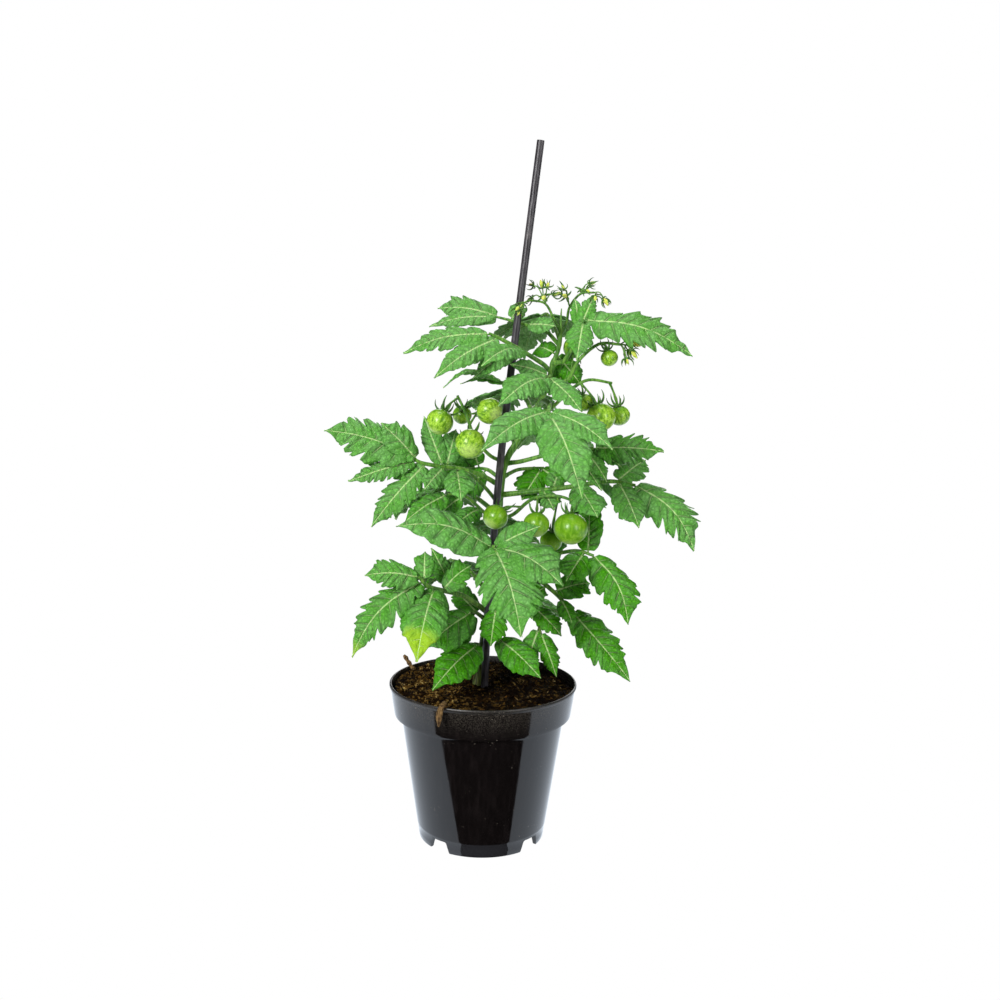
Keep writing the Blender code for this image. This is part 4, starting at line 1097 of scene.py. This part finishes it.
def make_pot():
    last_radius, last_height = POT_PROFILE[0]
    pot = primitive(bpy.ops.mesh.primitive_circle_add, "nursery_pot", vertices=128, radius=last_radius * MM,
                    fill_type="NGON", location=(0, 0, last_height * MM), enter_editmode=True)
    bpy.ops.mesh.select_all(action="SELECT")
    for radius, height in POT_PROFILE[1:]:
        rise = (height - last_height) * MM
        bpy.ops.mesh.extrude_region_move(TRANSFORM_OT_translate={"value": (0, 0, rise)})
        bpy.ops.transform.resize(value=(radius / last_radius, radius / last_radius, 1.0),
                                 center_override=(0.0, 0.0, height * MM))
        last_radius, last_height = radius, height
    bpy.ops.mesh.select_all(action="SELECT")
    bpy.ops.mesh.normals_make_consistent(inside=False)
    bpy.ops.object.mode_set(mode="OBJECT")
    bpy.ops.object.transform_apply(location=True, rotation=True, scale=True)
    return pot


pot = make_pot()
print("pot body", len(pot.data.polygons), "faces,", round(pot.dimensions.z * 1000, 1), "mm tall")

# %% [markdown]
# The foot is interrupted by four drain notches with sloping ends, and the floor has six holes.
# A block with a narrowed, rounded top cuts each notch, and a short cylinder each hole.

# %% Notches and holes
NOTCHES, HOLES = 4, 6
NOTCH_FIRST = math.radians(-40.0 - 90.0)
NOTCH_DEPTH, NOTCH_HEIGHT, NOTCH_BELOW = 14.0, 8.0, -1.0        # mm, as the next measures
NOTCH_TOP, NOTCH_FOOT, NOTCH_MIDDLE = 13.0, 17.6, 44.0
HOLE_RADIUS, HOLE_CIRCLE, HOLE_HEIGHT = 4.0, 24, 7


def cut_with(obj, cutter):
    step = obj.modifiers.new("cut", "BOOLEAN")
    step.operation = "DIFFERENCE"
    step.solver = "EXACT"
    step.object = cutter
    apply_all(obj)
    bpy.data.objects.remove(cutter)


def notch_block(angle):
    block = primitive(bpy.ops.mesh.primitive_cube_add, "notch_block", size=1.0)
    for vert in block.data.vertices:
        width, height = (NOTCH_TOP, NOTCH_HEIGHT) if vert.co.z > 0 else (NOTCH_FOOT, NOTCH_BELOW)
        vert.co = (vert.co.x * NOTCH_DEPTH * MM, vert.co.y * width * MM, height * MM)
    edge = block.modifiers.new("round", "BEVEL")
    edge.width = 1.3 * MM
    edge.segments = 3
    edge.limit_method = "ANGLE"
    apply_all(block)
    block.data.transform(Matrix.Rotation(angle, 4, "Z") @ Matrix.Translation((NOTCH_MIDDLE * MM, 0, 0)))
    return block


for k in range(NOTCHES):
    cut_with(pot, notch_block(NOTCH_FIRST + k * 2 * math.pi / NOTCHES))
for k in range(HOLES):
    angle = k * 2 * math.pi / HOLES
    spot = (HOLE_CIRCLE * MM * math.cos(angle), HOLE_CIRCLE * MM * math.sin(angle), HOLE_HEIGHT * MM)
    hole = primitive(bpy.ops.mesh.primitive_cylinder_add, "drain_hole", vertices=32, radius=HOLE_RADIUS * MM,
                     depth=8.0 * MM, location=spot)
    bpy.ops.object.transform_apply(location=True, rotation=True, scale=True)
    cut_with(pot, hole)
only(pot)
bpy.ops.object.shade_smooth_by_angle(angle=math.radians(35))
pot.data.materials.append(pot_black)
settled(pot, "pot_plastic", "pot")
print("pot with notches", len(pot.data.polygons), "faces")

# %% [markdown]
# ## Peat
# The potting soil is dark, damp peat, loose and full of fibres, with small pale chips of wood
# and bark. It is heaped up to the lip at the back left, and drawn darker in clouds and towards the right.
# Each grain takes its own shade from the cell of a pattern that it lies in.

# %% Peat finish
# the peat's colour is drawn darker towards the right, across these places
DARKER_FROM, DARKER_TO = -0.045, 0.005      # metres from the left


def peat_finish(name, dark, middle, light, cell):
    finish, node = new_finish(name, Roughness=1.0, IOR=1.4, Specular_IOR_Level=0.1)
    place = node("TexCoord", out="Object")
    grains = node("TexVoronoi", {"Vector": place, "Scale": 1 / cell}, out="Color")
    stops = [(0.0, dark), (0.62, middle), (0.9, light), (1.0, light)]
    grain = node("ValToRGB", (node("SeparateXYZ", (grains,)),), stops=stops)
    clouds = node("TexNoise", {"Vector": place, "Scale": 90.0, "Detail": 5.0})
    rough = node("TexNoise", {"Vector": place, "Scale": 1400.0, "Detail": 4.0})
    # darker in clouds and towards the right
    darkening = node("Math", [node("MapRange", limits) for limits in (
        (clouds, 0.35, 0.65, 0.0, 0.5), (node("SeparateXYZ", (place,)), DARKER_FROM, DARKER_TO, 0.0, 0.5))],
        operation="ADD")
    dress(finish, Base_Color=node("Mix", {0: darkening, 6: grain, 7: dark}),
          Normal=node("Bump", {"Height": rough, "Distance": 0.5 * MM, "Strength": 0.9}))
    return finish


peat = peat_finish("damp_peat", "#070200", "#1d0f01", "#6a4f22", 1.7 * MM)
crumb_peat = peat_finish("dry_peat_crumbs", "#0f0500", "#35220a", "#8f7440", 3.4 * MM)
straw = peat_finish("bark_and_straw_chips", "#4a3010", "#8a6a36", "#cfbb88", 4.0 * MM)
print("peat finishes:", peat.name, crumb_peat.name, straw.name)

# %% [markdown]
# The root ball starts as a square grid, pressed into a disc and raised by noise. Its border is
# then extruded down the inside of the pot and closed with one face.

# %% Peat body
SOIL_EDGE, SOIL_HEIGHT = 61.0, 106.2        # mm, as the next measures
# a heap and a hollow: height, middle across and back, and their spreads
HEAPS = [(2.6, -42, 22, 26, 30), (-1.6, 50, 20, 22, 30)]
GRID_CELLS = 130
PEAT_RINGS = [(59.0, 92.0), (54.4, 84.0), (43.0, 8.2)]      # radius and height down the pot's inside


def peat_height(x, y):
    """Height in mm of the peat at a place, heaped at the back left and worn low at the right."""
    out = math.hypot(x, y) / SOIL_EDGE
    heaped = sum(rise * math.exp(-(((x - mid_x) / wide) ** 2 + ((y - mid_y) / deep) ** 2))
                 for rise, mid_x, mid_y, wide, deep in HEAPS)
    spot = Vector((x, y, 0.0))
    lumps = 1.8 * noise.fractal(spot * 0.11, 0.6, 2.0, 5) + 0.9 * noise.noise(spot * 0.42)
    return SOIL_HEIGHT + heaped + lumps * (1 - 0.4 * out ** 4)


def make_peat():
    soil = primitive(bpy.ops.mesh.primitive_grid_add, "peat_root_ball", x_subdivisions=GRID_CELLS,
                     y_subdivisions=GRID_CELLS, size=2.0)
    for vert in soil.data.vertices:
        x, y, _ = vert.co
        length = math.hypot(x, y)
        stretch = max(abs(x), abs(y)) / length * SOIL_EDGE if length else 0.0
        x, y = x * stretch, y * stretch
        vert.co = (x * MM, y * MM, peat_height(x, y) * MM)
    bpy.ops.object.mode_set(mode="EDIT")
    bpy.ops.mesh.select_mode(type="EDGE")
    bpy.ops.mesh.select_all(action="DESELECT")
    bpy.ops.mesh.select_non_manifold(extend=False, use_wire=False, use_boundary=True,
                                     use_multi_face=False, use_non_contiguous=False, use_verts=False)
    last = SOIL_EDGE
    for radius, height in PEAT_RINGS:
        bpy.ops.mesh.extrude_edges_move(TRANSFORM_OT_translate={"value": (0, 0, 0)})
        bpy.ops.transform.resize(value=(radius / last, radius / last, 0.0),
                                 center_override=(0, 0, height * MM))
        last = radius
    bpy.ops.mesh.edge_face_add()
    bpy.ops.mesh.select_all(action="SELECT")
    bpy.ops.mesh.normals_make_consistent(inside=False)
    bpy.ops.object.mode_set(mode="OBJECT")
    bpy.ops.object.shade_smooth()
    soil.data.materials.append(peat)
    return settled(soil, "peat", "soil")


soil = make_peat()
print("peat", len(soil.data.polygons), "faces")

# %% [markdown]
# Crumbs, chips, clods and fibres are strewn over it. Each kind is one small lump or thread,
# copied with its own turn and size at random places. The draws come from one seeded source, so
# that every run strews them alike.

# %% Strewing
draw = np.random.RandomState(11)
TURN = 6.28


def on_peat(low_radius, high_radius):
    """A random place on the peat, in mm."""
    angle = draw.uniform(0, 2 * math.pi)
    radius = math.sqrt(draw.uniform(low_radius ** 2, high_radius ** 2))
    x, y = radius * math.cos(angle), radius * math.sin(angle)
    return Vector((x, y, peat_height(x, y)))


def random_turn(tilts=((-1.2, "X"), (-1.2, "Y"))):
    """Any turn about the upright, then a random tilt about each axis given."""
    turn = Matrix.Rotation(draw.uniform(0, TURN), 4, "Z")
    for limit, axis in tilts:
        turn = turn @ Matrix.Rotation(draw.uniform(limit, -limit), 4, axis)
    return turn


def sizes(*limits):
    return tuple(draw.uniform(low, high) for low, high in limits)


def size_between(low, high):
    size = draw.uniform(low, high)
    return (size, size * draw.uniform(0.6, 1.0), size * draw.uniform(0.5, 0.9))


def make_crumb():
    crumb = primitive(bpy.ops.mesh.primitive_ico_sphere_add, "crumb_pattern", subdivisions=1, radius=MM)
    for vert in crumb.data.vertices:
        vert.co *= 0.8 + 0.5 * noise.noise(vert.co * 900.0 + Vector((3.1, 0.2, 7.7)))
    return crumb


def strewn(name, pattern, places, finish, slot):
    """Copies of a pattern at places, each with its own turn and size, as one piece."""
    copies = []
    for k, (spot, turn, stretch) in enumerate(places):
        shape = Matrix.Translation(spot * MM) @ turn @ Matrix.Diagonal((*stretch, 1.0))
        copies.append(copy_of(pattern, f"{name}_{k}", shape))
    bpy.data.objects.remove(pattern)
    piece = joined(name, copies)
    piece.data.materials.clear()
    piece.data.materials.append(finish)
    settled(piece, slot)
    print(name, len(places))


print("ready to strew")

# %% Crumbs, chips, clods and fibres
CRUMBS, CHIPS, FIBRES = 520, 46, 110
# where clods lie: middle across and back, spread, and how many
CLOD_HEAPS = [(-20, -38, 9, 26), (-47, -4, 8, 20), (-34, 28, 10, 16), (22, -45, 8, 8)]
CLOD_REACH, CLOD_LIFT = 58.0, 0.4
FIBRE_LINE = ((-4, 0, 0), (-1.5, 0.7, 0.9), (1.5, -0.5, 1.0), (4, 0.3, 0.2))

crumbs = [(on_peat(4, 59.5), random_turn(), size_between(0.5, 1.0 + 1.5 * draw.uniform() ** 2))
          for _ in range(CRUMBS)]
strewn("peat_crumbs", make_crumb(), crumbs, crumb_peat, "peat")
chips = [(on_peat(20, 59), random_turn(), sizes((1.2, 3.2), (0.6, 1.4), (0.3, 0.6))) for _ in range(CHIPS)]
strewn("pale_chips", make_crumb(), chips, straw, "bark")
clods = []
for middle_x, middle_y, spread, count in CLOD_HEAPS:
    for _ in range(count):
        x, y = draw.normal(middle_x, spread), draw.normal(middle_y, spread)
        inward = min(1.0, CLOD_REACH / math.hypot(x, y))
        x, y = x * inward, y * inward
        clods.append((Vector((x, y, CLOD_LIFT + peat_height(x, y))), random_turn(), size_between(1.2, 2.9)))
clod_peat = peat_finish("crumbling_dry_peat", "#1c0f03", "#6a4d1e", "#b49a5c", 1.6 * MM)
strewn("dry_clods", make_crumb(), clods, clod_peat, "peat")
fibres = [(on_peat(12, 59), random_turn([(-0.5, "Y")]), sizes((0.5, 1.7), (0.6, 2.0), (0.6, 2.2)))
          for _ in range(FIBRES)]
fibre = tube("fibre", smooth_route([Vector(p) for p in FIBRE_LINE], 2), [0.16, 0.3, 0.28, 0.1], crumb_peat, 1)
strewn("peat_fibres", fibre, fibres, crumb_peat, "peat")

# %% [markdown]
# Two pieces of bark stand out: a split strip that is bent over the front of the lip, and a
# lumpy twig that leans on the lip at the back left. Bark is dry, dull and streaked lengthwise.

# %% Loose bark
LOOSE_BARK = {
    "wood_chip": ([(-23, -52.5, 109.6), (-24.5, -58.6, 112.6), (-27, -64, 108), (-27.5, -65, 99)],
                  [0.6, 1.2, 1.5, 2.0, 2.2, 1.9, 0.5]),
    "bark_twig": ([(-50, 30.5, 107.6), (-54, 33, 112.6), (-58, 34.5, 118)],
                  [2.0, 1.7, 1.2, 1.9, 1.1, 1.7, 0.7]),
}


def bark_finish():
    finish, node = new_finish("dry_split_bark", Roughness=0.88, IOR=1.45, Specular_IOR_Level=0.3)
    long_grain = node("Mapping", {"Vector": node("TexCoord", out="Object"), "Scale": (1.0, 1.0, 0.18)})
    grain = node("TexNoise", {"Vector": long_grain, "Scale": 1500.0, "Detail": 5.0})
    share = node("MapRange", (grain, 0.35, 0.65))
    dress(finish, Base_Color=node("Mix", {0: share, 6: "#33210f", 7: "#8a6d44"}),
          Normal=node("Bump", {"Height": grain, "Distance": 0.3 * MM, "Strength": 0.8}))
    return finish


bark = bark_finish()
for name, (points, radii) in LOOSE_BARK.items():
    piece = tube(f"loose_{name}", smooth_route([Vector(p) for p in points], 6), radii, bark, 2)
    lumpy(piece, 700.0, 0.35)
    settled(piece, "bark", name)
print("bark pieces:", ", ".join(LOOSE_BARK))

# %% [markdown]
# ## Table and light
# The pot stands on a white table that ends just in front of it. In the black plastic the table
# shows as pale panels at the sides, and the dark room beyond its edge shows as the black
# middle. The floor in front stays white to the eye but isn't mirrored. So the edge is found by
# reflection: each point of it is where a look at a panel's border bounces down to the table.

# %% Table
# side, degrees from the pot's front at its foot, then how the border widens per mm up and eases off
PANEL_BORDERS = [(-1, 16.8, 0.148, 0.0002), (1, 24.9, 0.075, 0.00024)]
BORDER_HEIGHTS = [0.5, 4, 8, 12, 18, 26, 34, 44, 56, 70, 86]
BODY_FOOT, BODY_TOP, BODY_HEIGHT = 43.6, 56.6, 86.4     # the pot's body: radii and height in mm
TABLE_SIDE, TABLE_BACK, EDGE_FAR_OFF = 2.5, 3.0, -0.98
UNDER_FOOT = -0.0002


def mirrored_spot(side, start, widening, easing, height):
    """Where the eye, looking at the pot's wall at this height, sees the table mirrored in it."""
    around = side * math.radians(start + widening * height - easing * height ** 2)
    slope = math.atan((BODY_TOP - BODY_FOOT) / BODY_HEIGHT)
    radius = BODY_FOOT + (BODY_TOP - BODY_FOOT) * height / BODY_HEIGHT
    aside, ahead = math.sin(around), -math.cos(around)
    spot = Vector((radius * aside, radius * ahead, height)) * MM
    outward = Vector((aside * math.cos(slope), ahead * math.cos(slope), -math.sin(slope)))
    ray = (spot - (camera.location - POT_FOOT)).reflect(outward)
    landed = spot - ray * (spot.z / ray.z)
    return landed.x, landed.y


def table_finish():
    """White to the eye and pale in the plastic, but it throws only half the light back up."""
    finish, node = new_finish("matt_white_table", Roughness=0.8)
    faint = node("TexNoise", {"Vector": node("TexCoord", out="Object"), "Scale": 6.0})
    dress(finish, Base_Color=node("Mix", {0: faint, 6: "#c4c4c4", 7: "#c9c9c9"}))
    nodes = finish.node_tree.nodes
    ray = node("LightPath", out=None)
    look = nodes["Principled BSDF"].outputs[0]
    for kind, shine in (("Is Glossy Ray", ("#e4eefa", 1.45)), ("Is Camera Ray", ("#ffffff", 1.0))):
        look = node("MixShader", (ray[kind], look, node("Emission", shine)))
    fill(finish.node_tree, nodes["Material Output"], {0: look})
    return finish


def floor_piece(name, outline, mirrored, finish):
    floor = primitive(bpy.ops.mesh.primitive_circle_add, name, vertices=len(outline),
                      radius=1.0, fill_type="NGON")
    for vert, (x, y) in zip(floor.data.vertices, outline):
        vert.co = (x, y, UNDER_FOOT)
    bpy.ops.object.mode_set(mode="EDIT")
    bpy.ops.mesh.select_all(action="SELECT")
    bpy.ops.mesh.normals_make_consistent(inside=False)
    bpy.ops.object.mode_set(mode="OBJECT")
    floor.data.transform(TO_FRAME)
    floor.visible_glossy = mirrored
    floor.data.materials.append(finish)


left_edge, right_edge = [[mirrored_spot(*border, height) for height in BORDER_HEIGHTS]
                         for border in PANEL_BORDERS]
table_edge = [(-TABLE_SIDE, EDGE_FAR_OFF), *left_edge[::-1], *right_edge, (TABLE_SIDE, EDGE_FAR_OFF)]
table_white = table_finish()
floor_piece("table_top", [*table_edge, (TABLE_SIDE, TABLE_BACK), (-TABLE_SIDE, TABLE_BACK)],
            True, table_white)
floor_piece("table_front", [*table_edge[::-1], (-TABLE_SIDE, -TABLE_BACK), (TABLE_SIDE, -TABLE_BACK)],
            False, table_white)
print("the table's front edge has", len(table_edge), "points")

# %% [markdown]
# A large soft light at the left front does most of the work, a weaker one fills from the right,
# one hangs overhead and one rims the far side. The pale room round them only fills the shade.
# It is white to the eye and nearly black to a mirror, so that the plastic stays dark.

# %% Light
MIDDLE = (0.0, 0.0, 0.22)
# place and size in metres, and watts
SOFT_LIGHTS = {
    "window_left": ((-0.85, -1.25, 0.85), (0.45, 0.55), 25.5),
    "window_right": ((1.1, -1.1, 0.6), (0.6, 0.8), 9.5),
    "sky_above": ((0.0, 0.1, 1.5), (0.7, 0.7), 8.5),
    "glow_behind": ((0.3, 1.4, 0.7), (1.0, 0.8), 8.0),
}


def soft_light(name, spot, size, watts):
    data = bpy.data.lights.new(name, "AREA")
    data.shape = "RECTANGLE"
    data.size, data.size_y = size
    data.energy = watts
    light = bpy.data.objects.new(name, data)
    light.location = POT_FOOT + Vector(spot)
    light.rotation_euler = (Vector(MIDDLE) - Vector(spot)).to_track_quat("-Z", "Y").to_euler()
    bpy.context.scene.collection.objects.link(light)


def pale_room():
    world = bpy.data.worlds.new("pale_studio")
    world.use_nodes = True
    tree = world.node_tree
    pale = tree.nodes["Background"]
    fill(tree, pale, {"Color": (0.95, 0.98, 1.0, 1.0), "Strength": 0.2})
    ray = add_node(tree, "LightPath", out=None)
    look = pale.outputs[0]
    for kind, room in (("Is Glossy Ray", {"Strength": 0.015}),
                       ("Is Camera Ray", {"Color": "#ffffff", "Strength": 1.0})):
        look = add_node(tree, "MixShader", (ray[kind], look, add_node(tree, "Background", room)))
    fill(tree, tree.nodes["World Output"], {"Surface": look})
    return world


for name, (spot, size, watts) in SOFT_LIGHTS.items():
    soft_light(name, spot, size, watts)
bpy.context.scene.world = pale_room()
print("lights:", ", ".join(SOFT_LIGHTS))
